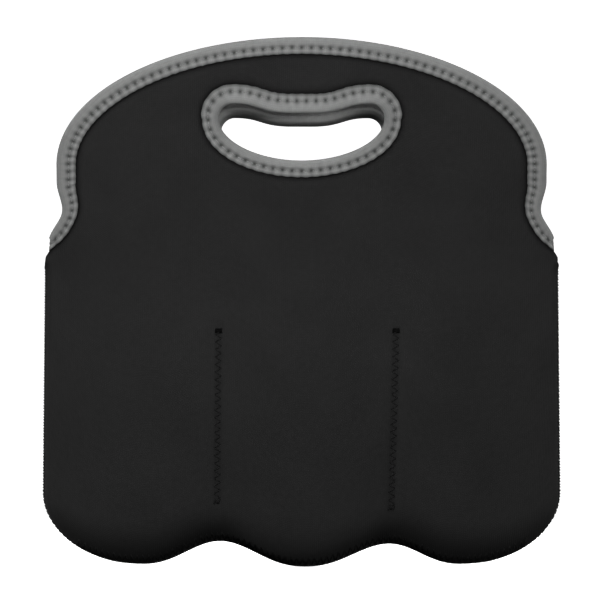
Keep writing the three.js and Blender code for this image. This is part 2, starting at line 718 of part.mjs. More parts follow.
// Both leaves are alike: the back one is the front one turned round.
function handle(face, turn) {
  const leaf = new THREE.Group();
  leaf.add(
    piece(`${face}_handle_leaf`, leafGeometry(), NEOPRENE),
    piece(`${face}_edge_binding`, edgeBindingGeometry(), TAPE),
    piece(`${face}_hand_hole_binding`, holeBindingGeometry(), TAPE),
  );
  leaf.position.set(0, -FOLD_Y, NECK_HEIGHT);
  leaf.rotation.x = degToRad(LEAF_LEAN);
  const facing = new THREE.Group();
  facing.rotation.z = turn;
  facing.add(leaf);
  return facing;
}

const bag = new THREE.Group();
bag.add(bagBody(), handle('front', 0), handle('back', Math.PI));

export default bag;
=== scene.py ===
"""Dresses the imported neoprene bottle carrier: two padded panels that run up as handle leaves, their folded
bindings and topstitching, the zigzag seams, and the dividers inside. Lengths in the shape code are in
millimetres."""
import json
import math

import bpy
import numpy as np
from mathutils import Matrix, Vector


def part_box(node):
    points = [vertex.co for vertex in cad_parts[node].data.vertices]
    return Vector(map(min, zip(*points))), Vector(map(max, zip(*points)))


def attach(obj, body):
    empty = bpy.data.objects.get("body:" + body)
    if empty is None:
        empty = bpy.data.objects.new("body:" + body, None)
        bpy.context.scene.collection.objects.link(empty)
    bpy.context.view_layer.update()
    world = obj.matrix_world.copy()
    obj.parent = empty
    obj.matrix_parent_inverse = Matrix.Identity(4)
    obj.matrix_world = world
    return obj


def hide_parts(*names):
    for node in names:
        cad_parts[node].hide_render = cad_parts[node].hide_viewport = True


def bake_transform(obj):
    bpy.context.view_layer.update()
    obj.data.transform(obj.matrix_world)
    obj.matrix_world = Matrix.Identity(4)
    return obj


bl_info = {
    "name": "Neoprene bottle carrier",
    "version": (1, 0, 0),
    "blender": (4, 5, 0),
    "location": "View3D > Sidebar > Carrier",
    "description": "Models and finishes a sewn neoprene carrier for bottles around its packed frame",
    "category": "Object",
}

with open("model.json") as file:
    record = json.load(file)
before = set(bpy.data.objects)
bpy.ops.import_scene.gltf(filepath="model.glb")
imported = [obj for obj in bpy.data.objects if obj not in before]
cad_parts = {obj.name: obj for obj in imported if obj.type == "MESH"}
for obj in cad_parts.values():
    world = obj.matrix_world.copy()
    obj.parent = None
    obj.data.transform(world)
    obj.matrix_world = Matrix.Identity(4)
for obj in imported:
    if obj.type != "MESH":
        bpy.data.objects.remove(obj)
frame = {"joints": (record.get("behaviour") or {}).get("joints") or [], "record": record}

MM = 0.001
TINY = 1e-9  # the least that is divided by
FACES = {"front": -1, "back": 1}  # the way along y that each panel faces
HANDS = ("left", "right")


def corner_mm(node, high):
    """The lowest or highest corner of a node of the frame, in millimetres."""
    return np.array(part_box(node)[high]) / MM


def record_mount(name):
    """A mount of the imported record."""
    return next(mount for mount in frame["record"]["mounts"] if mount["name"] == name)


# Sizes that the frame gives
FOLD_Y = abs(frame["joints"][0]["pos_m"][1]) / MM
FOLD_Z = frame["joints"][0]["pos_m"][2] / MM
LEAN = math.asin(abs(record_mount("front_grip")["axis"][1]))
SHOULDER = corner_mm("front_handle_leaf", True)[0]
WALL_BOTTOM = corner_mm("centre_divider", False)[2]
WALL_TOP = corner_mm("centre_divider", True)[2]
DIVIDER_END = corner_mm("centre_divider", True)[0]

# Sheets and their edges
PANEL_HALF = 2.0
TAPE_OUT = 1.2  # from the sheet's edge to the outside of the folded tape
SEAM_STAND = 1.0  # from the middle of the sheet to the outside of a side seam's thread
SIDE = corner_mm("right_side_seam", True)[0] - SEAM_STAND
ARCH_TOP = (corner_mm("front_handle_leaf", True)[2] - PANEL_HALF * math.sin(LEAN) - FOLD_Z) / math.cos(LEAN)
BELLY_Y = -corner_mm("front_panel", False)[1] - PANEL_HALF
NECK = 135.4  # half the sheet's width at the fold
BELLY_Z = 85.0  # the bag is fullest up to here
SEAM_TOP = 174.0  # the two sheets are held together at the sides up to here
SEAM_STOP = SEAM_TOP - 2.0  # and the stitches there end here
NOTCH_START = SEAM_TOP + 2.5  # the sheet's edge leaves the side seam here, with a small corner
NOTCH_CORNER_TOP = NOTCH_START + 5.0
NOTCH_SWEEP = 184.0  # and sweeps into the waist from here
NOTCH_CORNER = 0.24  # the corner's share of the way from the side to the waist
FLARE_START = SEAM_TOP - 8.0  # the two sheets' edges part from here up
SIDE_ROLL = 3.4  # how far the sheet's edge rolls round to a side seam
SHOULDER_START = 16.0  # up the leaf, where it is at its widest
SHOULDER_END = 25.5  # and where its arch begins
FOLD_SOFTNESS = 7.0  # the larger, the rounder the sheet bends at the fold

# The binding along the free edge
TAPE_END = 187.0  # the binding's fold is cut off here, at the side
TAPE_TURN = 197.0  # below this the binding turns, so that its cut end runs straight down
TAPE_NARROWS = 206.0  # and below this it narrows
TAPE_END_SHARE = 0.85  # of its width is left at the cut end
TAPE_END_LEAN = 0.13  # how far the cut end leans outwards
TAPE_SPREAD = 0.21  # how much wider the outer leg lies at a leaf's sides and over a hand hole
SPREAD_RISE = 18.0  # above the fold line, over which a leaf's tape grows that wide
STITCH_CROWD = 0.22  # how much closer its stitches lie up the sides than over the arch

# The scalloped bottom
SCALLOP_RISES = (14.3, 12.8)  # at the left and the right divider
POCKET_WIDTH = 96.0
POCKET_SHIFT = 1.8  # the middle pocket lies this far to the right
LOBE_X = 91.4  # the lowest point of an outer lobe
CORNER_HEIGHT = 40.0  # of the round lower corners
OUTER_LOBE_RISE = 1.2  # the outer lobes hang a little higher than the middle one
SCALLOP_POWER = 1.2  # over 1 makes the lobes fuller
BOTTOM_ROUND = 24.0  # the most that the turn under the bag reaches up
BOTTOM_POWER = 2.4  # 2 would make that turn a part of an ellipse
ROUND_RATIO = 1.2  # of the turn's height to the depth there
LENS_POWER = 2.2  # 2 would make the bag a lens from above; this one is fuller
FOOT_Z = PANEL_HALF + 0.1
DIVIDERS = (POCKET_SHIFT - POCKET_WIDTH / 2, POCKET_SHIFT + POCKET_WIDTH / 2)
LOBES = (-LOBE_X, DIVIDERS[0], POCKET_SHIFT, DIVIDERS[1], LOBE_X)

# The divider seams were sewn by eye: each runs from its foot to its top, left then right
SEAM_FOOT_X = (-47.1, 49.9)
SEAM_TOP_X = (-46.7, 53.2)
SEAM_FOOT_Z = (WALL_BOTTOM + 3.5, WALL_BOTTOM)
TACK_WIDTH = 4.6
TACK_HEIGHT = 2.8

# Soft relief of the panels
TUCK = 1.3  # how far a divider seam draws the panel in
TUCK_WIDTH = 4.0
TUCK_FADE = 9.0  # past either end of the seam
SWELL = 1.0  # how far a pocket stands out between its seams
SWELL_FADE = (20.0, 45.0)  # from below the dividers' top to above it
WAVE = 0.35
WAVE_LENGTHS = (31.0, 37.0, 26.0)  # across, up and aslant
WAVE_SLANT = 1.7
SLANT_SHARE = 0.6  # how strong the slanting waves are beside the others

# The hand hole inside its binding, measured up the leaf from the fold
HOLE_WIDTH = 94.0
HOLE_BOTTOM = 28.2
HOLE_WIDEST = 52.0
HOLE_PEAK = 60.3
HOLE_PEAK_SPAN = 78.0  # between the two peaks beside the grip
HOLE_DIP = 54.9  # the grip's underside
GRIP_FLAT = 12.0
HOLE_CURVE = {"bottom": 0.52, "side": 0.55, "peak": 0.45}

# Fineness of the meshes and of the runs that they follow
COLUMNS = 200
BOTTOM_ROWS = 14
BODY_ROWS = 96
LEAF_ROWS = 60
TAPE_STEPS = 8  # rings to each stitch
SIDE_POINTS = 60
ARCH_POINTS = 400
HOLE_POINTS = (40, 24, 30)  # of a hole's lower, upper and grip curve
JOINT_POINTS = (200, 900)  # of a side seam and of the bottom seam
MERGE = 0.02  # points closer than this are one


def to_linear(hex_colour):
    """A linear RGBA colour from an sRGB hex value."""
    channels = [int(hex_colour[i:i + 2], 16) / 255 for i in (1, 3, 5)]
    return [c / 12.92 if c <= 0.04045 else ((c + 0.055) / 1.055) ** 2.4 for c in channels] + [1.0]


def size(name, description, default):
    """A length that a user may change, in metres."""
    return bpy.props.FloatProperty(name=name, description=description, default=default * MM,
                                   min=0.0, unit="LENGTH", precision=5)


def colour(name, description, default):
    """A colour that a user may change."""
    return bpy.props.FloatVectorProperty(name=name, description=description, size=4, subtype="COLOR",
                                         default=to_linear(default), min=0.0, max=1.0)


class CarrierSizes(bpy.types.PropertyGroup):
    """Sizes of the sheets, tape and stitches."""

    panel_thick: size("Panel thickness", "Thickness of the neoprene panels", 2 * PANEL_HALF)
    lining_thick: size("Divider thickness", "Thickness of the dividers inside", 3.0)
    tape_thick: size("Tape thickness", "Thickness of the binding tape", 0.9)
    tape_width: size("Tape width", "From the fold of the binding to its sewn edge", 9.4)
    thread_thick: size("Thread", "Thickness of the seams' thread", 0.7)
    topstitch_thick: size("Topstitch thread", "Thickness of the binding's thread", 0.5)
    topstitch_pitch: size("Topstitch", "Length of one stitch along the binding", 5.5)
    topstitch_inset: size("Topstitch inset", "From the binding's sewn edge to its stitches", 3.4)
    zigzag_pitch: size("Divider zigzag", "One zig and one zag of a divider seam", 4.2)
    zigzag_width: size("Divider zigzag width", "Width of a divider seam", 4.8)
    butt_pitch: size("Edge zigzag", "One zig and one zag of a side or bottom seam", 3.2)
    butt_width: size("Edge zigzag width", "Width of a side or bottom seam", 5.0)


class CarrierColours(bpy.types.PropertyGroup):
    """Colours of the cloths and threads."""

    panel: colour("Panel", "Black jersey of the panels", "#222222")
    lining: colour("Lining", "Black jersey of the dividers", "#1E1E1F")
    tape: colour("Binding", "Grey of the binding tape", "#848584")
    thread: colour("Thread", "Black sewing thread", "#1C1C1C")
    # the tack colour is the black thread drawn darker, as painted shade, where it lies close in the tacks
    # and side seams
    tack: colour("Dense thread", "Black thread where it lies close, in the tacks and side seams", "#060606")
    topstitch: colour("Topstitch", "Grey thread of the binding", "#7A7B7A")
    floor: colour("Floor", "Pale studio paper", "#FAFAFA")


# Curves and steps


def smoothstep(value, low, high):
    """0 below low, 1 above high, and a soft step between."""
    share = np.clip((value - low) / (high - low), 0, 1)
    return share * share * (3 - 2 * share)


def half_cosine(share):
    """A soft step over a share from 0 to 1."""
    return (1 - np.cos(np.pi * np.clip(share, 0, 1))) / 2


def lerp(low, high, share):
    """A value between two others."""
    return low + (high - low) * share


def unit(vectors):
    """The same vectors, each with a length of 1."""
    return vectors / np.linalg.norm(vectors, axis=-1, keepdims=True)


def by_turns(count, first, second):
    """Two values by turns."""
    return np.where(np.arange(count) % 2, second, first)


def bezier(points, count):
    """Points of a cubic curve, without its last one."""
    t = np.linspace(0, 1, count, endpoint=False)[:, None]
    a, b, c, d = np.array(points, float)
    return (1 - t) ** 3 * a + 3 * (1 - t) ** 2 * t * b + 3 * (1 - t) * t ** 2 * c + t ** 3 * d


def lengths_along(points):
    """How far along a run each of its points lies."""
    return np.concatenate([[0], np.cumsum(np.linalg.norm(np.diff(points, axis=0), axis=1))])


def places_along(points, along, at):
    """Places on a run of points at given lengths along it."""
    return np.stack([np.interp(at, along, column) for column in points.T], axis=1)


def even_run(points, step, closed, inset):
    """The same run in whole stitches, measured along a line that lies inset from it. Up the sides of an open
    run the stitches are closer together."""
    line = points + into_sheet(points, closed) * inset
    if closed:
        points = np.vstack([points, points[:1]])
        line = np.vstack([line, line[:1]])
    ways = np.diff(line, axis=0)
    lengths = np.linalg.norm(ways, axis=1)
    if not closed:
        lengths *= 1 + STITCH_CROWD * (ways[:, 1] / np.maximum(lengths, TINY)) ** 2
    along = np.concatenate([[0], np.cumsum(lengths)])
    count = max(int(round(along[-1] / step)), 1)
    pitch = along[-1] / count
    at = np.linspace(0, along[-1], count * TAPE_STEPS + 1)
    run = places_along(points, along, at)
    return (run[:-1], at[:-1], pitch) if closed else (run, at, pitch)


def run_right(points, closed):
    """Unit normals to the right of the way that a flat run goes."""
    if closed:
        way = np.roll(points, -1, axis=0) - np.roll(points, 1, axis=0)
    else:
        way = np.gradient(points, axis=0)
    way = unit(way)
    return np.stack([way[:, 1], -way[:, 0]], axis=1)


def distance_to(points, run, closed=False):
    """The least distance of each point to a run of points."""
    ends = np.roll(run, -1, axis=0) if closed else run[1:]
    starts = run if closed else run[:-1]
    flat = points.reshape(-1, points.shape[-1])
    least = np.full(len(flat), np.inf)
    for a, b in zip(starts, ends):
        way = b - a
        share = np.clip((flat - a) @ way / max(way @ way, TINY), 0, 1)
        least = np.minimum(least, np.linalg.norm(flat - a - share[:, None] * way, axis=1))
    return least.reshape(points.shape[:-1])


def inside(points, loop):
    """True for each flat point that lies inside a closed loop."""
    crossings = np.zeros(points.shape[:-1], int)
    x, y = points[..., 0], points[..., 1]
    for (ax, ay), (bx, by) in zip(loop, np.roll(loop, -1, axis=0)):
        if ay == by:
            continue
        crosses = ((ay > y) != (by > y)) & (x < ax + (y - ay) / (by - ay) * (bx - ax))
        crossings += crosses
    return crossings % 2 == 1


# The shape of a panel: flat places are (x, v), and v runs up the sheet from the fold


def height(v):
    """Height above the floor of a flat place."""
    return FOLD_Z + np.where(v > 0, v * math.cos(LEAN), v)


def up_sheet(z):
    """The other way round: how far up the sheet from the fold a height lies."""
    return np.where(z > FOLD_Z, (z - FOLD_Z) / math.cos(LEAN), z - FOLD_Z)


def half_width(z):
    """Half the sheet's width at a height."""
    corner = NOTCH_CORNER * smoothstep(z, NOTCH_START, NOTCH_CORNER_TOP)
    sweep = (1 - NOTCH_CORNER) * half_cosine((z - NOTCH_SWEEP) / (FOLD_Z - NOTCH_SWEEP))
    neck = lerp(SIDE, NECK, corner + sweep)
    return np.where(z < FOLD_Z, neck, lerp(NECK, SHOULDER, half_cosine(up_sheet(z) / SHOULDER_START)))


def foot(x):
    """Height of the sheet's lower edge."""
    wave = (1 - np.cos(np.pi * np.interp(x, LOBES, range(len(LOBES))))) / 2
    rise = np.where(x < POCKET_SHIFT, *SCALLOP_RISES)
    outer = OUTER_LOBE_RISE * smoothstep(np.abs(x - POCKET_SHIFT), POCKET_WIDTH / 2, LOBE_X)
    past = np.clip((np.abs(x) - LOBE_X) / (SIDE - LOBE_X), 0, 1)
    corner = CORNER_HEIGHT * (1 - np.sqrt(1 - past ** 2))
    return FOOT_Z + outer + np.where(past > 0, corner, rise * wave ** SCALLOP_POWER)


def seam_x(hand, z):
    """Where a divider seam runs at a height; hand is 0 for the left one and 1 for the right one."""
    return lerp(SEAM_FOOT_X[hand], SEAM_TOP_X[hand], (z - WALL_BOTTOM) / (WALL_TOP - WALL_BOTTOM))


def sewn_share(z, bottom, fade):
    """1 at the heights of a divider seam with that bottom, fading to 0 past its ends."""
    return smoothstep(z, bottom - fade, bottom) * (1 - smoothstep(z, WALL_TOP, WALL_TOP + fade))


def relief(x, z, side):
    """Soft swelling of the pockets, the tucks of the divider seams, and slow waves."""
    tuck = sum(np.exp(-((x - seam_x(hand, z)) / TUCK_WIDTH) ** 2) for hand in range(len(DIVIDERS)))
    edges = (-SIDE, *DIVIDERS, SIDE)
    swell = np.sin(np.pi * (np.interp(x, edges, range(len(edges))) % 1))
    fading = 1 - smoothstep(z, WALL_TOP - SWELL_FADE[0], WALL_TOP + SWELL_FADE[1])
    wide, tall, slanting = WAVE_LENGTHS
    waves = np.sin(x / wide + side) * np.sin(z / tall + 2 * side)
    waves = waves + SLANT_SHARE * np.sin((x + WAVE_SLANT * z) / slanting + side)
    return SWELL * swell * fading - TUCK * tuck * sewn_share(z, WALL_BOTTOM, TUCK_FADE) + WAVE * waves


def turn_height(fullness):
    """How far up the turn under the bag reaches, where the bag is full to that share."""
    return np.minimum(BOTTOM_ROUND, ROUND_RATIO * lerp(SIDE_ROLL, BELLY_Y, np.clip(fullness, 0, 1)))


def depth(x, z, side):
    """How far the middle of the sheet lies in front of or behind the middle of the bag."""
    across = np.abs(x) / half_width(z)
    fullness = 1 - across ** LENS_POWER
    sewn = 1 - smoothstep(z, FLARE_START, SEAM_TOP)
    edge = lerp(SIDE_ROLL, FOLD_Y, smoothstep(z, FLARE_START, FOLD_Z))
    centre = lerp(BELLY_Y, FOLD_Y, half_cosine((z - BELLY_Z) / (FOLD_Z - BELLY_Z)))
    inset = np.clip((1 - across) * SIDE / SIDE_ROLL, 0, 1)
    roll = lerp(1, np.sqrt(1 - (1 - inset) ** 2), sewn)
    under = 1 - np.clip((z - foot(x)) / turn_height(fullness), 0, 1)
    rounded = (1 - under ** BOTTOM_POWER) ** (1 / BOTTOM_POWER)
    above = z - FOLD_Z
    lean = math.tan(LEAN) * (np.sqrt(above ** 2 + FOLD_SOFTNESS ** 2) + above) / 2
    soft = relief(x, z, side) * np.clip(fullness, 0, 1)
    return (edge * roll + (centre - edge) * fullness + soft) * rounded + lean


def surface(side, flat):
    """Places in space of flat places on the middle of a panel's sheet."""
    x = flat[..., 0]
    z = height(flat[..., 1])
    return np.stack([x, side * depth(x, z, side), z], axis=-1)


def outward(side, flat):
    """Unit normals on the outer face of a panel's sheet."""
    step = 0.05
    right = surface(side, flat + (step, 0)) - surface(side, flat - (step, 0))
    up = surface(side, flat + (0, step)) - surface(side, flat - (0, step))
    return unit(-side * np.cross(right, up))


def arch_edge(s):
    """How far up the sheet its arch lies, for shares across from -1 to 1."""
    return SHOULDER_END + (ARCH_TOP - SHOULDER_END) * np.sqrt(np.clip(1 - s ** 2, 0, 1))


def leaf_run():
    """The sheet's free edge as a flat run, from the left side seam over the arch to the right one."""
    v = np.linspace(TAPE_END - FOLD_Z, SHOULDER_END, SIDE_POINTS, endpoint=False)
    side = np.stack([half_width(height(v)), v], axis=1)
    s = np.sin(np.linspace(-math.pi / 2, math.pi / 2, ARCH_POINTS))
    return np.vstack([side * (-1, 1), np.stack([SHOULDER * s, arch_edge(s)], axis=1), side[::-1]])


def hole_run():
    """The sheet's edge round the hand hole as a flat closed run, anticlockwise from its lowest point."""
    half, peak, flat = HOLE_WIDTH / 2, HOLE_PEAK_SPAN / 2, GRIP_FLAT / 2
    wide = half * HOLE_CURVE["bottom"]
    low = lerp(HOLE_WIDEST, HOLE_BOTTOM, HOLE_CURVE["side"])
    high = lerp(HOLE_WIDEST, HOLE_PEAK, HOLE_CURVE["side"])
    outer = lerp(half, peak, HOLE_CURVE["peak"])
    inner = lerp(peak, flat, HOLE_CURVE["peak"])
    curves = (
        [(0, HOLE_BOTTOM), (wide, HOLE_BOTTOM), (half, low), (half, HOLE_WIDEST)],
        [(half, HOLE_WIDEST), (half, high), (outer, HOLE_PEAK), (peak, HOLE_PEAK)],
        [(peak, HOLE_PEAK), (inner, HOLE_PEAK), (inner, HOLE_DIP), (flat, HOLE_DIP)],
    )
    right = np.vstack([*map(bezier, curves, HOLE_POINTS), [(flat, HOLE_DIP)]])
    opening = np.vstack([right, right[:0:-1] * (-1, 1)])
    return opening + TAPE_OUT * run_right(opening, True)


def into_sheet(run, closed):
    """Ways from an edge into the sheet, turned down and shortened towards the cut ends of its tape."""
    into = run_right(run, closed)
    if closed:
        return into
    turned = 1 - smoothstep(run[:, 1:], TAPE_END - FOLD_Z, TAPE_TURN - FOLD_Z)
    down = np.stack([TAPE_END_LEAN * np.sign(run[:, 0]), np.full(len(run), -1.0)], axis=1)
    narrow = 1 - smoothstep(run[:, 1:], TAPE_TURN - FOLD_Z, TAPE_NARROWS - FOLD_Z)
    return unit(lerp(into, down, turned)) * lerp(1, TAPE_END_SHARE, narrow)


def tape_spread(run, closed):
    """How wide a tape's outer leg lies, as a share of the tape's width."""
    into = into_sheet(run, closed)
    if closed:
        return 1 + TAPE_SPREAD * np.sqrt(np.clip(into[:, 1:], 0, 1))
    return 1 + TAPE_SPREAD * np.abs(into[:, :1]) * smoothstep(run[:, 1:], 0, SPREAD_RISE)


def joint_run():
    """The lower outline where the two panels are sewn, from the left seam's top round to the right one's."""
    side_points, bottom_points = JOINT_POINTS
    z = np.linspace(SEAM_STOP, FOOT_Z + CORNER_HEIGHT, side_points, endpoint=False)
    left = np.stack([np.full_like(z, -SIDE), z], axis=1)
    x = SIDE * np.sin(np.linspace(-np.pi / 2, np.pi / 2, bottom_points))
    return np.vstack([left, np.stack([x, foot(x)], axis=1), left[::-1] * (-1, 1)])


# Making and finishing meshes


def deselect_all():
    """Leaves nothing selected, in object mode."""
    if bpy.context.object and bpy.context.object.mode != "OBJECT":
        bpy.ops.object.mode_set(mode="OBJECT")
    bpy.ops.object.select_all(action="DESELECT")


def select_only(piece):
    """Leaves one piece selected and active, in object mode."""
    deselect_all()
    piece.select_set(True)
    bpy.context.view_layer.objects.active = piece


def edit_whole(piece):
    """Opens a piece in edit mode, with all of it selected."""
    select_only(piece)
    bpy.ops.object.mode_set(mode="EDIT")
    bpy.ops.mesh.select_all(action="SELECT")


def cloth_grid(name, points, across, along):
    """A grid laid on rows of points, with a UV map in metres of cloth."""
    rows, columns = points.shape[:2]
    deselect_all()
    bpy.ops.mesh.primitive_grid_add(x_subdivisions=columns - 1, y_subdivisions=rows - 1)
    piece = bpy.context.object
    piece.name = piece.data.name = name
    mesh = piece.data
    mesh.vertices.foreach_set("co", (points * MM).astype(np.float32).ravel())
    vertex = np.zeros(len(mesh.loops), np.int32)
    mesh.loops.foreach_get("vertex_index", vertex)
    cloth = np.stack([across, along], axis=-1).reshape(-1, 2) * MM
    mesh.uv_layers.active.data.foreach_set("uv", cloth[vertex].astype(np.float32).ravel())
    mesh.update()
    return piece


def mark(piece, name, values):
    """Keeps a number for each point of a mesh, for its material to read."""
    attribute = piece.data.attributes.new(name, "FLOAT", "POINT")
    attribute.data.foreach_set("value", values.astype(np.float32).ravel())


def close_rows(piece):
    """Joins the first row of a strip to its last."""
    edit_whole(piece)
    bpy.ops.mesh.remove_doubles(threshold=MERGE * MM)
    bpy.ops.object.mode_set(mode="OBJECT")


def turn_over(piece):
    """Turns a sheet's faces over."""
    edit_whole(piece)
    bpy.ops.mesh.flip_normals()
    bpy.ops.object.mode_set(mode="OBJECT")


def delete_faces(piece, gone):
    """Deletes the faces that are flagged."""
    select_only(piece)
    bpy.ops.object.mode_set(mode="EDIT")
    bpy.ops.mesh.select_mode(type="FACE")
    bpy.ops.mesh.select_all(action="DESELECT")
    bpy.ops.object.mode_set(mode="OBJECT")
    piece.data.polygons.foreach_set("select", gone.ravel())
    bpy.ops.object.mode_set(mode="EDIT")
    bpy.ops.mesh.delete(type="FACE")
    bpy.ops.object.mode_set(mode="OBJECT")


def thicken(piece, thick, weights=None, least=1.0):
    """Gives a sheet its thickness, less where its weights fall from 1 to 0."""
    solidify = piece.modifiers.new("Thickness", "SOLIDIFY")
    solidify.thickness = thick
    solidify.offset = 0
    solidify.use_even_offset = True
    if weights is not None:
        group = piece.vertex_groups.new(name="thickness")
        for index, weight in enumerate(weights):
            group.add([index], float(weight), "REPLACE")
        solidify.vertex_group = group.name
        solidify.thickness_vertex_group = least
    bpy.context.view_layer.objects.active = piece
    bpy.ops.object.modifier_apply(modifier=solidify.name)
    if weights is not None:
        piece.vertex_groups.clear()


def smooth(piece, angle=40):
    """Smooth shading, with sharp edges where the surface turns by more than an angle in degrees."""
    select_only(piece)
    bpy.ops.object.shade_smooth_by_angle(angle=math.radians(angle))


def thread_piece(name, runs, thick):
    """Threads along runs of points, each (points, closed), as one mesh of round cords."""
    curve = bpy.data.curves.new(name, "CURVE")
    curve.dimensions = "3D"
    curve.bevel_depth = thick / 2
    curve.bevel_resolution = 1
    curve.use_fill_caps = True
    for points, closed in runs:
        spline = curve.splines.new("POLY")
        spline.points.add(len(points) - 1)
        places = np.hstack([points * MM, np.ones((len(points), 1))])
        spline.points.foreach_set("co", places.astype(np.float32).ravel())
        spline.use_cyclic_u = closed
    piece = bpy.data.objects.new(name, curve)
    bpy.context.collection.objects.link(piece)
    select_only(piece)
    bpy.ops.object.convert(target="MESH")
    smooth(piece, angle=60)
    return piece


# Finishes

WAVE_PERIOD = 2 * math.pi / 20  # length of one band of a wave texture at scale 1
JERSEY_WALE = 1.15  # mm; the real knit is half as wide, too fine to show
JERSEY_COURSE = 0.95
TAPE_RIB = 0.95  # mm; drawn coarser than the real weave so that it shows
THREAD_TWIST = 0.55
MOTTLE = 3.0  # mm across a patch of uneven dye
SMUDGE = 38.0
PAPER_TOOTH = 2.0
PAPER_GLOW = 1.05  # the paper shines by itself, so that it is even behind the carrier


def set_inputs(tree, node, inputs):
    """Gives a node's inputs their values or their links."""
    for name, value in inputs.items():
        if isinstance(value, bpy.types.NodeSocket):
            tree.links.new(value, node.inputs[name])
        else:
            node.inputs[name].default_value = value


def add_node(tree, kind, inputs=None, **settings):
    """Adds a node with its settings, its input values and its links."""
    node = tree.nodes.new(kind)
    for name, value in settings.items():
        setattr(node, name, value)
    set_inputs(tree, node, inputs or {})
    return node


def new_material(name):
    """A new material, its tree of nodes and its shader."""
    material = bpy.data.materials.new(name)
    material.use_nodes = True
    tree = material.node_tree
    return material, tree, tree.nodes["Principled BSDF"]


def per_metre(millimetres):
    """How often a length fits into a metre of cloth."""
    return 1 / (millimetres * MM)


def shade_of(rgba, factor):
    """The same colour, lighter or darker."""
    return [channel * factor for channel in rgba[:3]] + [1.0]


def knit(tree, cloth, wale, course):
    """Height of a knit: columns of loops, each broken into courses, both slightly uneven."""
    bands = {}
    for way, width, unevenness, roughness in (("X", wale, 0.6, 1.2), ("Y", course, 0.9, 1.4)):
        bands[len(bands)] = add_node(tree, "ShaderNodeTexWave", {
            "Vector": cloth,
            "Scale": WAVE_PERIOD * per_metre(width),
            "Distortion": unevenness,
            "Detail": 1.0,
            "Detail Scale": roughness,
        }, bands_direction=way).outputs["Fac"]
    return add_node(tree, "ShaderNodeMath", bands, operation="MULTIPLY").outputs[0]


def dyed_cloth(tree, pattern, dye, rgba, weight, tones, shades, painted_shade_attribute, darkest):
    """Colour of a cloth: between two shades by its pattern and its dye, darkened by the painted shade on its
    mesh.
    """
    tone = add_node(tree, "ShaderNodeMath", {0: pattern, 1: weight, 2: dye}, operation="MULTIPLY_ADD")
    ramp = add_node(tree, "ShaderNodeMapRange", {
        "Value": tone.outputs[0],
        "From Min": tones[0],
        "From Max": tones[1],
    })
    dyed = add_node(tree, "ShaderNodeMix", {
        "Factor": ramp.outputs["Result"],
        "A": shade_of(rgba, shades[0]),
        "B": shade_of(rgba, shades[1]),
    }, data_type="RGBA")
    painted_shade_value = add_node(tree, "ShaderNodeAttribute", attribute_name=painted_shade_attribute)
    return add_node(tree, "ShaderNodeMix", {
        "Factor": painted_shade_value.outputs["Fac"],
        "A": dyed.outputs["Result"],
        "B": shade_of(rgba, darkest),
    }, data_type="RGBA").outputs["Result"]


def jersey_neoprene(name, rgba):
    """Knitted jersey bonded to closed-cell neoprene: matt and finely ribbed, with uneven dye and a slight
    bloom, and darkened by the painted shade on its mesh beside the tapes, along the seams and under the
    lobes."""
    material, tree, shader = new_material(name)
    cloth = add_node(tree, "ShaderNodeUVMap").outputs["UV"]
    loops = knit(tree, cloth, JERSEY_WALE, JERSEY_COURSE)
    mottle = add_node(tree, "ShaderNodeTexNoise",
                      {"Vector": cloth, "Scale": per_metre(MOTTLE), "Detail": 4.0})
    smudge = add_node(tree, "ShaderNodeTexNoise",
                      {"Vector": cloth, "Scale": per_metre(SMUDGE), "Detail": 2.0})
    patches = {0: mottle.outputs["Fac"], 1: smudge.outputs["Fac"]}
    dye = add_node(tree, "ShaderNodeMath", patches, operation="ADD").outputs[0]
    # the panels' painted shade darkens the jersey down to a fifth of its black
    dyed = dyed_cloth(tree, loops, dye, rgba, weight=0.45, tones=(0.6, 1.7),
                      shades=(0.78, 1.25), painted_shade_attribute="painted_shade", darkest=0.2)
    bump = add_node(tree, "ShaderNodeBump", {"Height": loops, "Strength": 0.35, "Distance": 0.25 * MM})
    set_inputs(tree, shader, {
        "Base Color": dyed,
        "Normal": bump.outputs["Normal"],
        "Roughness": 0.9,
        "Specular IOR Level": 0.1,
        "Sheen Weight": 0.03,
        "Sheen Roughness": 0.5,
    })
    return material


def binding_tape(name, rgba):
    """Woven polyester tape: matt grey, finely ribbed across, with painted shade at its needle holes, stitch
    groove, sewn edge and folds.
    """
    material, tree, shader = new_material(name)
    cloth = add_node(tree, "ShaderNodeUVMap").outputs["UV"]
    ribs = knit(tree, cloth, TAPE_RIB, TAPE_RIB)
    mottle = add_node(tree, "ShaderNodeTexNoise",
                      {"Vector": cloth, "Scale": per_metre(MOTTLE), "Detail": 4.0})
    # the tapes' painted shade darkens the grey down to 0.15 of itself
    dyed = dyed_cloth(tree, ribs, mottle.outputs["Fac"], rgba, weight=0.4, tones=(0.3, 0.95),
                      shades=(0.88, 1.1), painted_shade_attribute="painted_tape_shade", darkest=0.15)
    bump = add_node(tree, "ShaderNodeBump", {"Height": ribs, "Strength": 0.3, "Distance": 0.2 * MM})
    set_inputs(tree, shader, {
        "Base Color": dyed,
        "Normal": bump.outputs["Normal"],
        "Roughness": 0.8,
        "Specular IOR Level": 0.3,
        "Sheen Weight": 0.1,
        "Sheen Roughness": 0.4,
    })
    return material


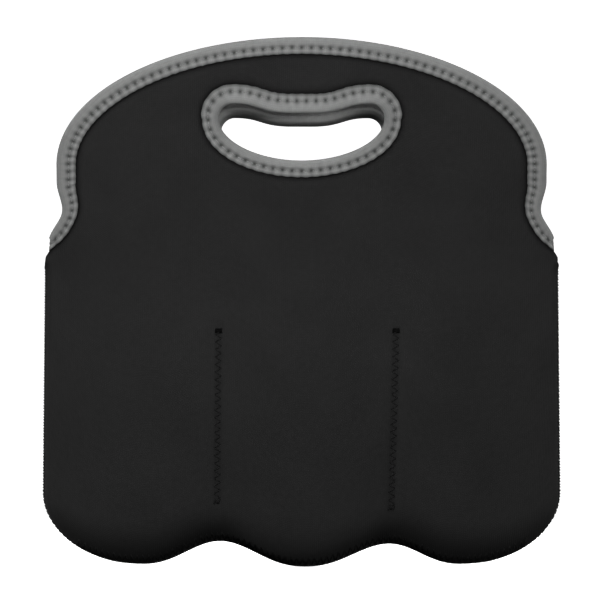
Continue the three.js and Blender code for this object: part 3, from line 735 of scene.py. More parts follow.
def sewing_thread(name, rgba):
    """Twisted polyester thread: fine slanting plies with a soft sheen."""
    material, tree, shader = new_material(name)
    place = add_node(tree, "ShaderNodeTexCoord").outputs["Object"]
    plies = add_node(tree, "ShaderNodeTexWave", {
        "Vector": place,
        "Scale": WAVE_PERIOD * per_metre(THREAD_TWIST),
        "Distortion": 1.0,
        "Detail": 1.0,
    }, bands_direction="DIAGONAL").outputs["Fac"]
    mix = add_node(tree, "ShaderNodeMix", {
        "Factor": plies,
        "A": shade_of(rgba, 0.7),
        "B": shade_of(rgba, 1.2),
    }, data_type="RGBA")
    bump = add_node(tree, "ShaderNodeBump", {"Height": plies, "Strength": 0.4, "Distance": 0.1 * MM})
    set_inputs(tree, shader, {
        "Base Color": mix.outputs["Result"],
        "Normal": bump.outputs["Normal"],
        "Roughness": 0.75,
        "Specular IOR Level": 0.05,
    })
    return material


def studio_paper(name, rgba):
    """Matt white background paper with a faint tooth."""
    material, tree, shader = new_material(name)
    place = add_node(tree, "ShaderNodeTexCoord").outputs["Object"]
    grain = {"Vector": place, "Scale": per_metre(PAPER_TOOTH), "Detail": 3.0}
    tooth = add_node(tree, "ShaderNodeTexNoise", grain)
    mix = add_node(tree, "ShaderNodeMix", {
        "Factor": tooth.outputs["Fac"],
        "A": shade_of(rgba, 0.98),
        "B": rgba[:],
    }, data_type="RGBA")
    set_inputs(tree, shader, {
        "Base Color": mix.outputs["Result"],
        "Roughness": 0.95,
        "Emission Color": rgba[:],
        "Emission Strength": PAPER_GLOW,
    })
    return material


def finish_of(make, name, rgba):
    """The material of that name, made at its first use."""
    return bpy.data.materials.get(name) or make(name, rgba)


def dress(piece, material):
    """Gives a piece its one finish."""
    piece.data.materials.clear()
    piece.data.materials.append(material)


# Panels

COLUMN_SAMPLES = 4001
EDGE_CROWD = 0.001  # the smaller, the closer the columns lie at the sides
SEAM_CROWD = 1.6  # how much closer they lie at a divider seam
SEAM_CROWD_WIDTH = 9.0
BOTTOM_CROWD = 1.4  # over 1 brings the rows closer together towards the lower edge
HOLE_SPLITS = 4  # the hole's edge is this many times finer where the sheet is drawn to it
JOINT_STRIDE = 6  # and the joint and the bound edges are coarser where distances are taken from them
TAPE_STRIDE = 2
PAST_EDGE = 3.0  # how far a tape is taken to cover past the sheet's edge
SEAM_PRESSED = 0.5  # shares of the panel's thickness
SEAM_PRESS_SPAN = (2.6, 5.6)  # from the joint, between which the sheet thickens again
TAPE_PRESSED = 0.6
TAPE_PRESS_SPAN = (0.5, 4.5)  # and from a tape
# Painted shade in the panel's colour, kept on its mesh: beside the tapes, along the side seams and their
# joint, under the lobes, beside the divider seams and round their bar tacks
PAINTED_SHADE_SPREAD = 1.9  # mm of the panel beside the tape that take a painted shade
SEAM_SHADE = 0.45  # how much of that painted shade a side seam has
SEAM_SHADE_SPAN = (3.0, 4.4)  # from the joint, between which it fades
SEAM_PINCH = (16.0, 4.0)  # below the seam's top, between which it doubles
JOINT_SHADE = 0.6  # and what the joint itself adds to that
JOINT_SHADE_SPAN = (4.0, 6.2)
LOBE_SHADE = (0.0, 0.74)  # and the painted shade where the bag turns under the middle lobe and under an outer one
LOBE_SHADE_RISE = (10.0, 24.0)  # mm that this shade reaches up
LOBE_SHADE_START = 1.0
DIVIDER_SHADE = 0.26  # and the painted shade beside the cloth that a divider seam draws in
DIVIDER_SHADE_SPAN = (1.6, 3.6)
DIVIDER_SHADE_FADE = 2.0  # past either end of the seam
TACK_SHADE_SPAN = (1.5, 3.0)


def column_places():
    """Shares across the sheet, closer together at the sides and at the divider seams."""
    s = np.linspace(-1, 1, COLUMN_SAMPLES)
    edge = 1 / np.sqrt(np.clip(1 - s ** 2, EDGE_CROWD, None))
    seams = sum(np.exp(-((s * SIDE - seam) / SEAM_CROWD_WIDTH) ** 2) for seam in DIVIDERS)
    crowd = np.cumsum(edge + SEAM_CROWD * seams)
    crowd = (crowd - crowd[0]) / (crowd[-1] - crowd[0])
    return np.interp(np.linspace(0, 1, COLUMNS + 1), crowd, s)


def panel_flat():
    """Flat places of a panel's grid, row by row from the lower edge to the arch."""
    s = column_places()
    low = foot(s * SIDE)
    tall = turn_height(1 - np.abs(s) ** LENS_POWER)
    turn = np.pi / 2 * (np.arange(BOTTOM_ROWS) / BOTTOM_ROWS) ** BOTTOM_CROWD
    rows = [low + tall * (1 - np.cos(angle) ** (2 / BOTTOM_POWER)) for angle in turn]
    rows += [lerp(low + tall, FOLD_Z, k / BODY_ROWS) for k in range(BODY_ROWS)]
    top = height(arch_edge(s))
    rows += [lerp(FOLD_Z, top, k / LEAF_ROWS) for k in range(LEAF_ROWS + 1)]
    z = np.array(rows)
    return np.stack([s * half_width(z), up_sheet(z)], axis=-1)


def faces_round(flags):
    """How many of the flagged faces of a grid lie round each of its points."""
    rows, columns = flags.shape
    counts = np.zeros((rows + 1, columns + 1), int)
    for up, right in ((0, 0), (0, 1), (1, 0), (1, 1)):
        counts[up:up + rows, right:right + columns] += flags
    return counts


def snap_to_hole(flat, hole):
    """The grid with its nearest points drawn to the hand hole's edge, and flags for the faces inside it."""
    centres = (flat[:-1, :-1] + flat[1:, :-1] + flat[:-1, 1:] + flat[1:, 1:]) / 4
    gone = inside(centres, hole)
    edge = (faces_round(gone) > 0) & (faces_round(~gone) > 0)
    following = np.roll(hole, -1, axis=0)
    dense = np.vstack([lerp(hole, following, k / HOLE_SPLITS) for k in range(HOLE_SPLITS)])
    snapped = flat.copy()
    for row, column in zip(*np.nonzero(edge)):
        snapped[row, column] = dense[np.argmin(np.linalg.norm(dense - flat[row, column], axis=1))]
    return snapped, gone


def cloth_lengths(points):
    """Lengths of cloth along the columns and up the rows of a grid of places."""
    right = np.linalg.norm(np.diff(points, axis=1), axis=-1)
    up = np.linalg.norm(np.diff(points, axis=0), axis=-1)
    across = np.concatenate([np.zeros((len(points), 1)), np.cumsum(right, axis=1)], axis=1)
    across -= across[:, across.shape[1] // 2][:, None]
    along = np.concatenate([np.zeros((1, points.shape[1])), np.cumsum(up, axis=0)], axis=0)
    return across, along


def beside_tape(flat, run, closed, tape_in):
    """How far places lie from a tape's sewn edge, and from the tape itself, which is 0 under it."""
    sewn = run + into_sheet(run, closed) * tape_in * tape_spread(run, closed)
    beside = distance_to(flat, sewn, closed)
    past_edge = run - PAST_EDGE * run_right(run, closed)
    loop = sewn if closed else np.vstack([past_edge, sewn[::-1]])
    return beside, np.where(inside(flat, loop), 0, beside)


def seam_shade(flat, from_joint):
    """Painted shade on a panel along its side seams, under its lobes, beside its divider seams and round
    their bar tacks.
    """
    x, z = flat[..., 0], height(flat[..., 1])
    upright = smoothstep(z, FOOT_Z + CORNER_HEIGHT / 2, FOOT_Z + CORNER_HEIGHT)
    pinch = 1 + smoothstep(z, SEAM_TOP - SEAM_PINCH[0], SEAM_TOP - SEAM_PINCH[1])
    shade = SEAM_SHADE * upright * pinch * (1 - smoothstep(from_joint, *SEAM_SHADE_SPAN))
    shade += JOINT_SHADE * upright * (1 - smoothstep(from_joint, *JOINT_SHADE_SPAN))
    outer = smoothstep(np.abs(x - POCKET_SHIFT), POCKET_WIDTH / 4, POCKET_WIDTH / 2)
    under = 1 - smoothstep(z - foot(x), LOBE_SHADE_START, lerp(*LOBE_SHADE_RISE, outer))
    shade += lerp(*LOBE_SHADE, outer) * (1 - upright) * under
    at_tack = np.exp(-((z - WALL_TOP) / TACK_HEIGHT * 2) ** 2)
    for hand, bottom in enumerate(SEAM_FOOT_Z):
        beside = np.abs(x - seam_x(hand, z))
        sewn = sewn_share(z, bottom, DIVIDER_SHADE_FADE)
        shade += DIVIDER_SHADE * sewn * (1 - smoothstep(beside, *DIVIDER_SHADE_SPAN))
        shade += (1 - smoothstep(beside, *TACK_SHADE_SPAN)) * at_tack
    return shade


def panel_marks(side, flat, tape_in):
    """The sheet's thickness as a share of its own, thinner where the butt seams and the tapes squeeze it,
    and the painted shade beside its tapes and seams and under its lobes."""
    joint = joint_run()[::JOINT_STRIDE]
    middle = np.stack([joint[:, 0], np.zeros(len(joint)), joint[:, 1]], axis=1)
    from_joint = distance_to(surface(side, flat), middle)
    edge, edge_tape = beside_tape(flat, leaf_run()[::TAPE_STRIDE], False, tape_in)
    hole, hole_tape = beside_tape(flat, hole_run()[::TAPE_STRIDE], True, tape_in)
    at_seam = lerp(SEAM_PRESSED, 1, smoothstep(from_joint, *SEAM_PRESS_SPAN))
    at_tape = lerp(TAPE_PRESSED, 1, smoothstep(np.minimum(edge_tape, hole_tape), *TAPE_PRESS_SPAN))
    # painted shade beside the tapes, with the painted shade of the seams, lobes and tacks added
    painted_shade = np.exp(-(np.minimum(edge, hole) / PAINTED_SHADE_SPREAD) ** 2) + seam_shade(flat, from_joint)
    return np.minimum(at_seam, at_tape), np.minimum(painted_shade, 1)


def panel_piece(face, side, sizes):
    """One panel with its handle leaf: a single sheet of neoprene from the bottom seam to the arch."""
    flat = panel_flat()
    across, along = cloth_lengths(surface(side, flat))
    flat, gone = snap_to_hole(flat, hole_run())
    piece = cloth_grid(f"{face}_panel_sheet", surface(side, flat), across, along)
    share, painted_shade = panel_marks(side, flat, sizes.tape_width / MM - TAPE_OUT)
    # the painted shade is kept on the mesh for the jersey's colour
    mark(piece, "painted_shade", painted_shade)
    delete_faces(piece, gone)
    if side > 0:
        turn_over(piece)
    used = faces_round(~gone) > 0
    weights = (share[used] - SEAM_PRESSED) / (1 - SEAM_PRESSED)
    thicken(piece, sizes.panel_thick, weights, SEAM_PRESSED)
    smooth(piece)
    return piece


def bend_at_fold(piece):
    """Bakes a piece's placement into its mesh."""
    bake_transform(piece)


class CARRIER_OT_panels(bpy.types.Operator):
    """Adds the front and back panels with their handle leaves"""

    bl_idname = "carrier.panels"
    bl_label = "Panels"

    def execute(self, context):
        sizes, colours = context.scene.carrier_sizes, context.scene.carrier_colours
        finish = finish_of(jersey_neoprene, "jersey_neoprene", colours.panel)
        for face, side in FACES.items():
            piece = panel_piece(face, side, sizes)
            dress(piece, finish)
            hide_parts(f"{face}_panel", f"{face}_handle_leaf")
            bend_at_fold(piece)
        return {"FINISHED"}


# Bindings

LEG_POINTS = 18  # of the tape's section, along each leg
FOLD_POINTS = 13  # and round its fold
FOLD_BEND = 2.0  # from the sheet's edge, where the tape begins to turn round it
FOLD_POWER = 2.5  # 2 would be a round fold; this one is flatter underneath
TAPE_GAP = 0.1  # between the pressed sheet and the tape
TAPE_CROWN = 0.7  # how much higher the tape stands over the sheet's edge than at its stitches
CROWN_END = 2.2  # from the sheet's edge, up to where it stands highest
DIMPLE = 0.8  # how far a needle hole draws the tape in
DIMPLE_SPREAD = 1.55
INNER_PRESS = 0.25  # how hard the stitches press the tape's inner leg, as a share of its outer one
PUCKER = 0.4  # how far the sewn edge is drawn down beside a needle hole, and puffs up between two
SCALLOP = 0.1  # how far the sewn edge stands out between two stitches
# Painted shade in the tape's colour, kept on its mesh
HOLE_SHADE = 0.98  # painted shade in a needle hole
GROOVE_SHADE = 0.2  # painted shade on the sewn edge beside a needle hole
GROOVE_POWER = 3  # the higher, the closer that stays to the hole
LINE_SHADE = (0.02, 0.42)  # and painted shade along the stitch groove, over the arch and at the sides
ROLL_SHADE = 0.42  # and painted shade on the rolled fold at the sides, where it turns away
ROLL_LEAST = 0.3  # the share of that over the arch
EDGE_SHADE = 0.75  # and painted shade on the last of the sewn edge, where the tape turns under
EDGE_TURN = 1.7  # mm of the tape that turn under
GRIP_SHADE = 0.9  # and painted shade on the inner half of the fold where it faces down, under a grip
GRIP_SHADE_OUT = (-0.4, 1.0)  # across the fold, between which that fades
GRIP_SHADE_IN = (-0.2, 1.4)  # and into the sheet


def tape_profile(width, thick, line):
    """The folded tape's section: e runs into the sheet from its edge, n out of its face."""
    reach = width - TAPE_OUT
    outer = TAPE_OUT - thick / 2 + FOLD_BEND
    leg_e = np.linspace(reach, FOLD_BEND, LEG_POINTS)
    leg_n = PANEL_HALF * TAPE_PRESSED + thick / 2 + TAPE_GAP
    leg_n = leg_n + TAPE_CROWN * (1 - smoothstep(leg_e, CROWN_END, line))
    turn = np.radians(np.linspace(90, -90, FOLD_POINTS + 2)[1:-1])
    fold_e = FOLD_BEND - outer * np.cos(turn) ** (2 / FOLD_POWER)
    fold_n = leg_n[-1] * np.sign(turn) * np.abs(np.sin(turn)) ** (2 / FOLD_POWER)
    return np.concatenate([leg_e, fold_e, leg_e[::-1]]), np.concatenate([leg_n, fold_n, -leg_n[::-1]])


def stitch_line(sizes):
    """How far the topstitching lies from the sheet's edge."""
    return (sizes.tape_width - sizes.topstitch_inset) / MM - TAPE_OUT


def stitch_press(at, pitch, e, line, spread):
    """How hard the stitches press a place of the tape, from 0 to 1."""
    phase = (at / pitch + 0.5) % 1 - 0.5
    hole = np.exp(-(phase * pitch / spread) ** 2)
    return hole[:, None] * np.exp(-((e - line) / spread) ** 2)[None, :]


def tape_points(side, run, at, pitch, closed, sizes):
    """Places of a folded tape, ring by ring along the edge that it binds, and the painted shade on it there.
    """
    width, thick = sizes.tape_width / MM, sizes.tape_thick / MM
    reach = width - TAPE_OUT
    line = stitch_line(sizes)
    e, n = tape_profile(width, thick, line)
    press = stitch_press(at, pitch, e, line, DIMPLE_SPREAD) * np.where(n > 0, 1, INNER_PRESS)
    lip = smoothstep(e, line, reach)
    phase = np.cos(2 * np.pi * at / pitch)[:, None]
    spread = np.where((e > 0) & (n > 0), tape_spread(run, closed), 1)
    inward = e * spread - SCALLOP * phase * lip
    lift = np.abs(n) - DIMPLE * press - PUCKER * phase * lip
    lift = np.where(e > CROWN_END, np.sign(n) * lift, n)
    flat = run[:, None, :] + into_sheet(run, closed)[:, None, :] * np.clip(inward, 0, None)[..., None]
    out = unit(surface(side, run) - surface(side, run + run_right(run, closed)))
    points = surface(side, flat) + outward(side, flat) * lift[..., None]
    points += out[:, None, :] * np.clip(-inward, 0, None)[..., None]
    sideways = np.abs(out[:, :1])
    rolled = sideways if closed else np.maximum(sideways, ROLL_LEAST)
    inner_fold = (1 - smoothstep(n, *GRIP_SHADE_OUT)) * (1 - smoothstep(e, *GRIP_SHADE_IN))
    # painted shade: in the needle holes, on the sewn edge beside them, along the stitch groove, on the fold
    # at the sides, where the sewn edge turns under and under a grip
    shades = (
        HOLE_SHADE * press,
        GROOVE_SHADE * (phase * 0.5 + 0.5) ** GROOVE_POWER * lip,
        lerp(*LINE_SHADE, sideways) * np.exp(-((e - line) / DIMPLE_SPREAD) ** 2),
        ROLL_SHADE * rolled * (1 - smoothstep(e, 0, line)),
        EDGE_SHADE * smoothstep(e, reach - EDGE_TURN, reach),
        GRIP_SHADE * np.clip(-out[:, 2:], 0, 1) * inner_fold,
    )
    return points, 1 - math.prod(1 - shade for shade in shades)


def tape_piece(name, side, run, closed, sizes):
    """One folded tape along an edge of a panel, and the length of that edge in metres."""
    run, at, pitch = even_run(run, sizes.topstitch_pitch / MM, closed, stitch_line(sizes))
    points, dark = tape_points(side, run, at, pitch, closed, sizes)
    if closed:
        points = np.concatenate([points, points[:1]])
        dark = np.concatenate([dark, dark[:1]])
        at = np.append(at, at[-1] + at[1])
    piece = cloth_grid(name, points, *np.meshgrid(lengths_along(points[0]), at))
    # the painted shade is kept on the mesh for the tape's colour
    mark(piece, "painted_tape_shade", dark)
    if closed:
        close_rows(piece)
    if side < 0:
        turn_over(piece)
    thicken(piece, sizes.tape_thick)
    smooth(piece, angle=50)
    edge = np.vstack([run, run[:1]]) if closed else run
    return piece, np.linalg.norm(np.diff(edge, axis=0), axis=1).sum() * MM


def topstitch_runs(side, run, closed, sizes):
    """Threads of the topstitching on both faces: each stitch dips into its needle holes."""
    line = stitch_line(sizes)
    run, at, pitch = even_run(run, sizes.topstitch_pitch / MM, closed, line)
    top = PANEL_HALF * TAPE_PRESSED + sizes.tape_thick / MM + TAPE_GAP
    dip = np.cos(2 * np.pi * at / pitch) * 0.5 + 0.5
    rise = top - (DIMPLE + sizes.topstitch_thick / MM) * dip ** 2
    threads = []
    for face, spread in ((1, tape_spread(run, closed)), (-1, 1)):
        flat = run + into_sheet(run, closed) * line * spread
        threads.append((surface(side, flat) + face * outward(side, flat) * rise[:, None], closed))
    return threads


def bind_edge(name, side, run, closed, sizes, colours):
    """A tape and its topstitching, dressed."""
    tape, length = tape_piece(name, side, run, closed, sizes)
    dress(tape, finish_of(binding_tape, "woven_binding_tape", colours.tape))
    threads = topstitch_runs(side, run, closed, sizes)
    stitches = thread_piece(f"{name}_topstitch", threads, sizes.topstitch_thick)
    dress(stitches, finish_of(sewing_thread, "grey_thread", colours.topstitch))
    return tape, stitches


class CARRIER_OT_edge_bindings(bpy.types.Operator):
    """Adds the tape over the free edge of each panel, from side seam to side seam"""

    bl_idname = "carrier.edge_bindings"
    bl_label = "Edge bindings"

    def execute(self, context):
        sizes, colours = context.scene.carrier_sizes, context.scene.carrier_colours
        for face, side in FACES.items():
            tape, stitches = bind_edge(f"{face}_edge_tape", side, leaf_run(), False, sizes, colours)
            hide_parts(f"{face}_edge_binding", f"{face}_left_binding_end", f"{face}_right_binding_end")
            bend_at_fold(tape)
            bend_at_fold(stitches)
        return {"FINISHED"}


class CARRIER_OT_hole_bindings(bpy.types.Operator):
    """Adds the tape round each hand hole"""

    bl_idname = "carrier.hole_bindings"
    bl_label = "Hand hole bindings"

    def execute(self, context):
        sizes, colours = context.scene.carrier_sizes, context.scene.carrier_colours
        for face, side in FACES.items():
            tape, stitches = bind_edge(f"{face}_hole_tape", side, hole_run(), True, sizes, colours)
            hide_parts(f"{face}_hand_hole_binding")
            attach(tape, f"{face}_handle")
            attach(stitches, f"{face}_handle")
        return {"FINISHED"}


# Seams

HALVINGS = 40  # steps of the search for the needle holes
SLOPE_STEP = 0.04  # how much further in the sheet's slope is taken
BUTT_OFF = 0.2  # how far a butt seam's thread stands off the sheet, as a share of its thickness
BUTT_DIP = 0.45  # how far it goes in at a needle hole
BUTT_PROUD = 0.05  # how much further it stands off over the joint
BOTTOM_ROW = (1.2, 5.4)  # above the lower edge, between which the bottom seam's stitches show
FOOT_LEGS = 6  # needle holes of the crossing stitches at a divider seam's foot
TACK_LEGS = 15  # and of the bar tack at its top
SHANK = 0.12  # share of a stitch over which it comes out of its needle hole
STITCH_DIP = 0.55  # shares of the thread's thickness: how far it goes in at a needle hole
STITCH_CROWN = 0.15  # how much higher it stands halfway
SEAM_PROUD = 0.3  # and how high that is
TACK_PROUD = 0.5


def edge_stops(pitch):
    """Stitch places along the joint of the two panels, half a pitch apart, with the way into the sheet."""
    run = joint_run()
    along = lengths_along(run)
    count = int(along[-1] / (pitch / 2))
    stops = places_along(run, along, np.linspace(0, along[-1], count + 1))
    return stops, -run_right(stops, False)


def over_edge(stops, into, side, reach):
    """Places on a panel's outer face at a reach from the joint, and their normals."""
    low, high = np.zeros(len(stops)), np.full(len(stops), reach)

    def inwards(far):
        flat = stops + into * far[:, None]
        return flat, depth(flat[:, 0], flat[:, 1], side)

    for _ in range(HALVINGS):
        middle = (low + high) / 2
        near = np.hypot(middle, inwards(middle)[1]) < reach
        low, high = np.where(near, middle, low), np.where(near, high, middle)
    flat, y = inwards(low)
    slope = (inwards(low * (1 + SLOPE_STEP))[1] - y) / np.maximum(low * SLOPE_STEP, TINY)
    normal = np.stack([-into[:, 0] * slope, np.full(len(y), side), -into[:, 1] * slope], axis=1)
    return np.stack([flat[:, 0], side * y, flat[:, 1]], axis=1), unit(normal)


def butt_seam_runs(sizes):
    """The zigzag over the joint, as the left seam, the bottom seam and the right seam."""
    stops, into = edge_stops(sizes.butt_pitch / MM)
    lift = PANEL_HALF * SEAM_PRESSED + sizes.thread_thick / MM * BUTT_OFF
    ends = {side: over_edge(stops, into, side, sizes.butt_width / MM / 2) for side in FACES.values()}
    points = []
    for i, (stop, way) in enumerate(zip(stops, into)):
        side = -1 if i % 2 else 1
        place, normal = ends[side][0][i], ends[side][1][i]
        points.append(place + normal * (lift - BUTT_DIP))
        points.append(place + normal * lift)
        middle = stop - way * (lift + BUTT_PROUD)
        points.append(np.array([middle[0], 0, middle[1]]))
        following = min(i + 1, len(stops) - 1)
        place, normal = ends[-side][0][following], ends[-side][1][following]
        points.append(place + normal * lift)
    points = np.array(points)
    x, z = np.repeat(stops, len(points) // len(stops), axis=0).T
    high = z > FOOT_Z + CORNER_HEIGHT
    return {
        "left_side": points[high & (x < 0)],
        "bottom": points[~high],
        "right_side": points[high & (x > 0)],
    }


def stitched(side, flat, thick, proud):
    """A thread over flat places, which are needle holes: it dips into each and lies proud between them."""
    shares = (0, SHANK, 0.5, 1 - SHANK)
    rows = np.stack([lerp(flat[:-1], flat[1:], share) for share in shares], axis=1).reshape(-1, 2)
    rows = np.vstack([rows, flat[-1:]])
    shank = proud - STITCH_CROWN
    lift = np.tile([-STITCH_DIP, shank, proud, shank], len(flat) - 1)
    lift = PANEL_HALF + np.append(lift, -STITCH_DIP) * thick
    return surface(side, rows) + outward(side, rows) * lift[:, None]


def bottom_stitch_runs(sizes):
    """The rows of the bottom seam that show above the lower edge, one on each panel."""
    reach = SIDE - CORNER_HEIGHT / 2
    count = int(2 * reach / (sizes.butt_pitch / MM / 2))
    x = np.linspace(-reach, reach, count + 1)
    flat = np.stack([x, up_sheet(foot(x) + by_turns(count + 1, *BOTTOM_ROW))], axis=1)
    return [(stitched(side, flat, sizes.thread_thick / MM, SEAM_PROUD), False) for side in FACES.values()]


def black_threads(colours):
    """The finishes of the black thread: its own colour where it lies loose, and a darker copy where it lies
    close, as painted shade.
    """
    loose = finish_of(sewing_thread, "black_thread", colours.thread)
    dense = finish_of(sewing_thread, "dense_thread", colours.tack)
    return loose, dense


class CARRIER_OT_butt_seams(bpy.types.Operator):
    """Adds the zigzag seams that join the two panels along the sides and the bottom"""

    bl_idname = "carrier.butt_seams"
    bl_label = "Side and bottom seams"

    def execute(self, context):
        sizes = context.scene.carrier_sizes
        loose, dense = black_threads(context.scene.carrier_colours)
        for name, run in butt_seam_runs(sizes).items():
            low = name == "bottom"
            runs = [(run, False)] + (bottom_stitch_runs(sizes) if low else [])
            piece = thread_piece(f"{name}_seam_thread", runs, sizes.thread_thick)
            # the side seams take the darker copy of the thread, as painted shade
            dress(piece, loose if low else dense)
            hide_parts(f"{name}_seam")
            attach(piece, "bag_body")
        return {"FINISHED"}


def divider_seam_runs(side, hand, sizes):
    """The zigzag of a divider seam with a few crossing stitches at its foot, and the bar tack at its top."""
    thick = sizes.thread_thick / MM
    bottom = SEAM_FOOT_Z[hand]
    count = int((WALL_TOP - bottom) / (sizes.zigzag_pitch / MM / 2))
    z = np.linspace(bottom, WALL_TOP, count + 1)
    x = seam_x(hand, z) + by_turns(count + 1, -0.5, 0.5) * sizes.zigzag_width / MM
    zigzag = (stitched(side, np.stack([x, up_sheet(z)], axis=1), thick, SEAM_PROUD), False)
    tacks = []
    for z, legs in ((bottom, FOOT_LEGS), (WALL_TOP, TACK_LEGS)):
        x = seam_x(hand, z) + np.linspace(-0.5, 0.5, legs) * TACK_WIDTH
        up = by_turns(legs, -0.5, 0.5) * TACK_HEIGHT
        tacks.append((stitched(side, np.stack([x, z - FOLD_Z + up], axis=1), thick, TACK_PROUD), False))
    return [zigzag, tacks[0]], tacks[1:]


class CARRIER_OT_divider_seams(bpy.types.Operator):
    """Adds the zigzag rows and bar tacks that hold the pocket walls"""

    bl_idname = "carrier.divider_seams"
    bl_label = "Divider seams"

    def execute(self, context):
        sizes = context.scene.carrier_sizes
        loose, dense = black_threads(context.scene.carrier_colours)
        for face, side in FACES.items():
            for hand, name in enumerate(HANDS):
                zigzag, tacks = divider_seam_runs(side, hand, sizes)
                piece = thread_piece(f"{face}_{name}_divider_thread", zigzag, sizes.thread_thick)
                dress(piece, loose)
                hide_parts(f"{face}_{name}_divider_seam")
                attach(piece, "bag_body")
                tack = thread_piece(f"{face}_{name}_bar_tack", tacks, sizes.thread_thick)
                # the bar tack takes the darker copy of the thread, as painted shade
                dress(tack, dense)
                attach(tack, "bag_body")
        return {"FINISHED"}


# Dividers inside

WALL_LENGTH = 31.0  # front to back along the sheet: a bottle's radius
WALL_START = 1.8  # from the middle of the bag to a wall
WALL_GAP = 0.1  # from a wall to its panel
WALL_SLACK = 0.25  # how much further a wall bows at its top
WALL_SLACK_RISE = 30.0  # below its top, over which it comes to that
WALL_ROWS = 36
WALL_STEPS = 24
DIVIDER_ROWS = 30
DIVIDER_STEPS = 60
DIVIDER_SAG = 2.5
SAG_FLATNESS = 4  # the higher, the further out the sag goes on
SAG_RISE = 3  # the higher, the sooner it is lost below the top


def wall_points(side, hand):
    """Places of a pocket wall, which bows towards the middle pocket because the empty bag is shallow."""
    z = np.linspace(WALL_BOTTOM, WALL_TOP, WALL_ROWS)[:, None]
    seam = seam_x(hand, z)
    toward = np.sign(POCKET_SHIFT - seam)
    span = depth(seam, z, side) - PANEL_HALF - WALL_GAP - WALL_START
    bow = 2 * span / np.pi * np.sqrt(np.clip(WALL_LENGTH / span - 1, 0, None))
    share = np.linspace(0, 1, WALL_STEPS + 1)[None, :]
    slack = 1 + WALL_SLACK * smoothstep(z, WALL_TOP - WALL_SLACK_RISE, WALL_TOP)
    x = seam + toward * bow * slack * np.sin(np.pi * share) ** 2
    y = side * (WALL_START + span * share)
    return np.stack(np.broadcast_arrays(x, y, z), axis=-1)


def divider_points():
    """Places of the centre divider, a sheet that sags a little between its seams."""
    x = np.linspace(-DIVIDER_END, DIVIDER_END, DIVIDER_STEPS + 1)[None, :]
    z = np.linspace(WALL_BOTTOM, WALL_TOP, DIVIDER_ROWS)[:, None]
    middle = 1 - (np.abs(x) / DIVIDER_END) ** SAG_FLATNESS
    dip = DIVIDER_SAG * np.sin(np.pi * (x - DIVIDERS[0]) / POCKET_WIDTH) ** 2 * middle
    high = (z - WALL_BOTTOM) / (WALL_TOP - WALL_BOTTOM)
    return np.stack(np.broadcast_arrays(x, 0.0, z - dip * high ** SAG_RISE), axis=-1)


def inner_sheet(name, points, sizes, colours):
    """One sheet of the thinner neoprene inside."""
    piece = cloth_grid(name, points, *cloth_lengths(points))
    thicken(piece, sizes.lining_thick)
    smooth(piece)
    finish = finish_of(jersey_neoprene, "lining_neoprene", colours.lining)
    dress(piece, finish)
    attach(piece, "bag_body")
    return piece


class CARRIER_OT_dividers(bpy.types.Operator):
    """Adds the centre divider and the four pocket walls"""

    bl_idname = "carrier.dividers"
    bl_label = "Dividers"

    def execute(self, context):
        sizes, colours = context.scene.carrier_sizes, context.scene.carrier_colours
        centre = inner_sheet("centre_divider_sheet", divider_points(), sizes, colours)
        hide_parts("centre_divider")
        for face, side in FACES.items():
            for hand, name in enumerate(HANDS):
                wall = inner_sheet(f"{face}_{name}_wall_sheet", wall_points(side, hand), sizes, colours)
                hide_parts(f"{face}_{name}_pocket_wall")
        return {"FINISHED"}


# Stage: these lengths are in metres, apart from the view's and the camera's

CAMERA_DISTANCE = 1300.0
CAMERA_HEIGHT = 45.0
VIEW_WIDTH = 337.5
VIEW_CENTRE = (-0.9, -27.0, 150.2)
SENSOR = 36.0
TRAY_WIDTH = 7.0
TRAY_RISE = 4.0
TRAY_ROUND = 1.0
TRAY_SEGMENTS = 24
LIGHTS = {  # place, width and height, height that it points at, spread in degrees, power
    "key": ((-0.26, -0.6, 0.42), (0.2, 0.2), 0.15, 180, 2.75),
    "fill": ((0.45, -1.4, 0.14), (0.9, 0.12), 0.3, 70, 1.7),
    "leaf": ((0.3, -1.3, 0.15), (0.5, 0.1), 0.262, 18, 0.03),
    "top": ((-0.1, 0.0, 1.5), (0.5, 0.5), 0.15, 180, 5.0),
    "left": ((-1.5, 0.3, 0.4), (0.6, 0.6), 0.15, 180, 12.0),
    "right": ((1.5, 0.3, 0.4), (0.6, 0.6), 0.15, 180, 12.0),
    "back": ((0.5, 1.5, 0.9), (1.0, 1.0), 0.15, 180, 28.0),
}
SKY = 0.2  # strength of the light from above
HORIZON = (-0.1, 0.5)  # heights between which that light sets in


def add_tray(finish):
    """A tray of paper: a floor that curves up into a backdrop on every side."""
    deselect_all()
    bpy.ops.mesh.primitive_plane_add(size=TRAY_WIDTH)
    tray = bpy.context.object
    tray.name = tray.data.name = "studio_tray"
    bpy.ops.object.mode_set(mode="EDIT")
    bpy.ops.mesh.select_mode(type="EDGE")
    bpy.ops.mesh.select_all(action="SELECT")
    bpy.ops.mesh.extrude_edges_move(TRANSFORM_OT_translate={"value": (0, 0, TRAY_RISE)})
    bpy.ops.mesh.select_all(action="SELECT")
    bpy.ops.mesh.normals_make_consistent(inside=True)
    bpy.ops.object.mode_set(mode="OBJECT")
    bevel = tray.modifiers.new("Round", "BEVEL")
    bevel.width = TRAY_ROUND
    bevel.segments = TRAY_SEGMENTS
    bpy.ops.object.modifier_apply(modifier=bevel.name)
    smooth(tray, angle=60)
    dress(tray, finish)
    tray.visible_diffuse = False
    tray.visible_glossy = False
    tray.visible_shadow = False


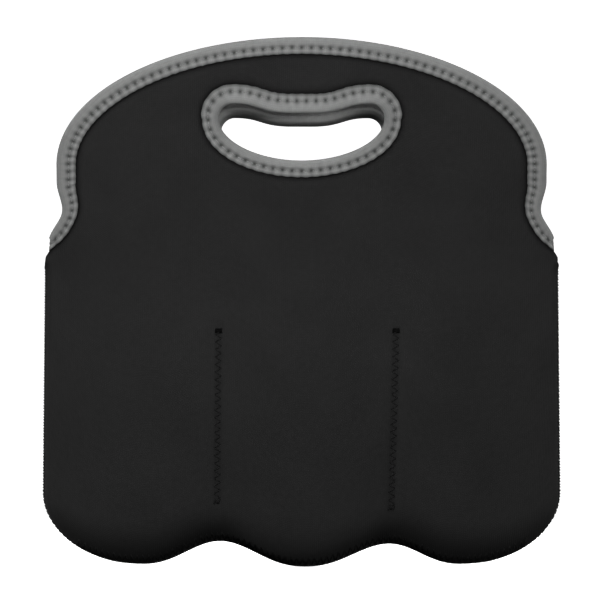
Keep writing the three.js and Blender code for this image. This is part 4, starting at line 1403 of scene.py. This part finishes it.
def add_sky(scene):
    """Soft light from above that fades out below the horizon."""
    world = bpy.data.worlds.new("studio_air")
    world.use_nodes = True
    tree = world.node_tree
    way = add_node(tree, "ShaderNodeTexCoord").outputs["Generated"]
    parts = add_node(tree, "ShaderNodeSeparateXYZ", {"Vector": way})
    sky = add_node(tree, "ShaderNodeMapRange", {
        "Value": parts.outputs["Z"],
        "From Min": HORIZON[0],
        "From Max": HORIZON[1],
        "To Max": SKY,
    })
    set_inputs(tree, tree.nodes["Background"], {"Color": (1, 1, 1, 1), "Strength": sky.outputs["Result"]})
    scene.world = world


def aim(item, place, target):
    """Puts a light or the camera at a place and turns it to its target."""
    from_to = np.array(target) - np.array(place)
    item.location = place
    item.rotation_euler = Vector(from_to).to_track_quat("-Z", "Y").to_euler()


def add_lights(context, centre):
    """The soft lights, all turned to the middle of the view."""
    for name, (place, (wide, tall), aim_height, spread, power) in LIGHTS.items():
        light = bpy.data.lights.new(f"{name}_light", "AREA")
        light.shape = "RECTANGLE"
        light.size, light.size_y = wide, tall
        light.spread = math.radians(spread)
        light.energy = power
        item = bpy.data.objects.new(f"{name}_light", light)
        context.collection.objects.link(item)
        aim(item, place, (*centre[:2], aim_height))


def add_camera(context, centre):
    """The camera, low in front of the carrier, with the lens that shows the view's width from there."""
    camera = bpy.data.cameras.new("camera")
    item = bpy.data.objects.new("camera", camera)
    context.collection.objects.link(item)
    place = centre + np.array([0, -CAMERA_DISTANCE, 0]) * MM
    place[2] = CAMERA_HEIGHT * MM
    aim(item, place, centre)
    camera.sensor_width = SENSOR
    camera.lens = SENSOR * float(np.linalg.norm(centre - place)) / (VIEW_WIDTH * MM)
    context.scene.camera = item


class CARRIER_OT_stage(bpy.types.Operator):
    """Adds the paper tray, the soft lights and the camera"""

    bl_idname = "carrier.stage"
    bl_label = "Stage"

    def execute(self, context):
        centre = np.array(VIEW_CENTRE) * MM
        add_tray(finish_of(studio_paper, "studio_paper", context.scene.carrier_colours.floor))
        add_sky(context.scene)
        add_lights(context, centre)
        add_camera(context, centre)
        context.scene.view_settings.view_transform = "Standard"
        return {"FINISHED"}


class VIEW3D_PT_carrier(bpy.types.Panel):
    """Lists the carrier's sizes, colours and pieces"""

    bl_label = "Bottle carrier"
    bl_space_type = "VIEW_3D"
    bl_region_type = "UI"
    bl_category = "Carrier"

    def draw(self, context):
        for group in (context.scene.carrier_sizes, context.scene.carrier_colours):
            column = self.layout.column()
            for name in group.__annotations__:
                column.prop(group, name)
        for operator in OPERATORS:
            self.layout.operator(operator.bl_idname)


OPERATORS = (
    CARRIER_OT_stage,
    CARRIER_OT_panels,
    CARRIER_OT_edge_bindings,
    CARRIER_OT_hole_bindings,
    CARRIER_OT_butt_seams,
    CARRIER_OT_divider_seams,
    CARRIER_OT_dividers,
)
CLASSES = (CarrierSizes, CarrierColours, *OPERATORS, VIEW3D_PT_carrier)


def register():
    for cls in CLASSES:
        bpy.utils.register_class(cls)
    bpy.types.Scene.carrier_sizes = bpy.props.PointerProperty(type=CarrierSizes)
    bpy.types.Scene.carrier_colours = bpy.props.PointerProperty(type=CarrierColours)


def unregister():
    del bpy.types.Scene.carrier_colours
    del bpy.types.Scene.carrier_sizes
    for cls in reversed(CLASSES):
        bpy.utils.unregister_class(cls)


def main():
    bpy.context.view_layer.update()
    register()
    bpy.ops.carrier.stage()
    bpy.ops.carrier.panels()
    bpy.ops.carrier.edge_bindings()
    bpy.ops.carrier.hole_bindings()
    bpy.ops.carrier.butt_seams()
    bpy.ops.carrier.divider_seams()
    bpy.ops.carrier.dividers()


if __name__ == "__main__":
    main()
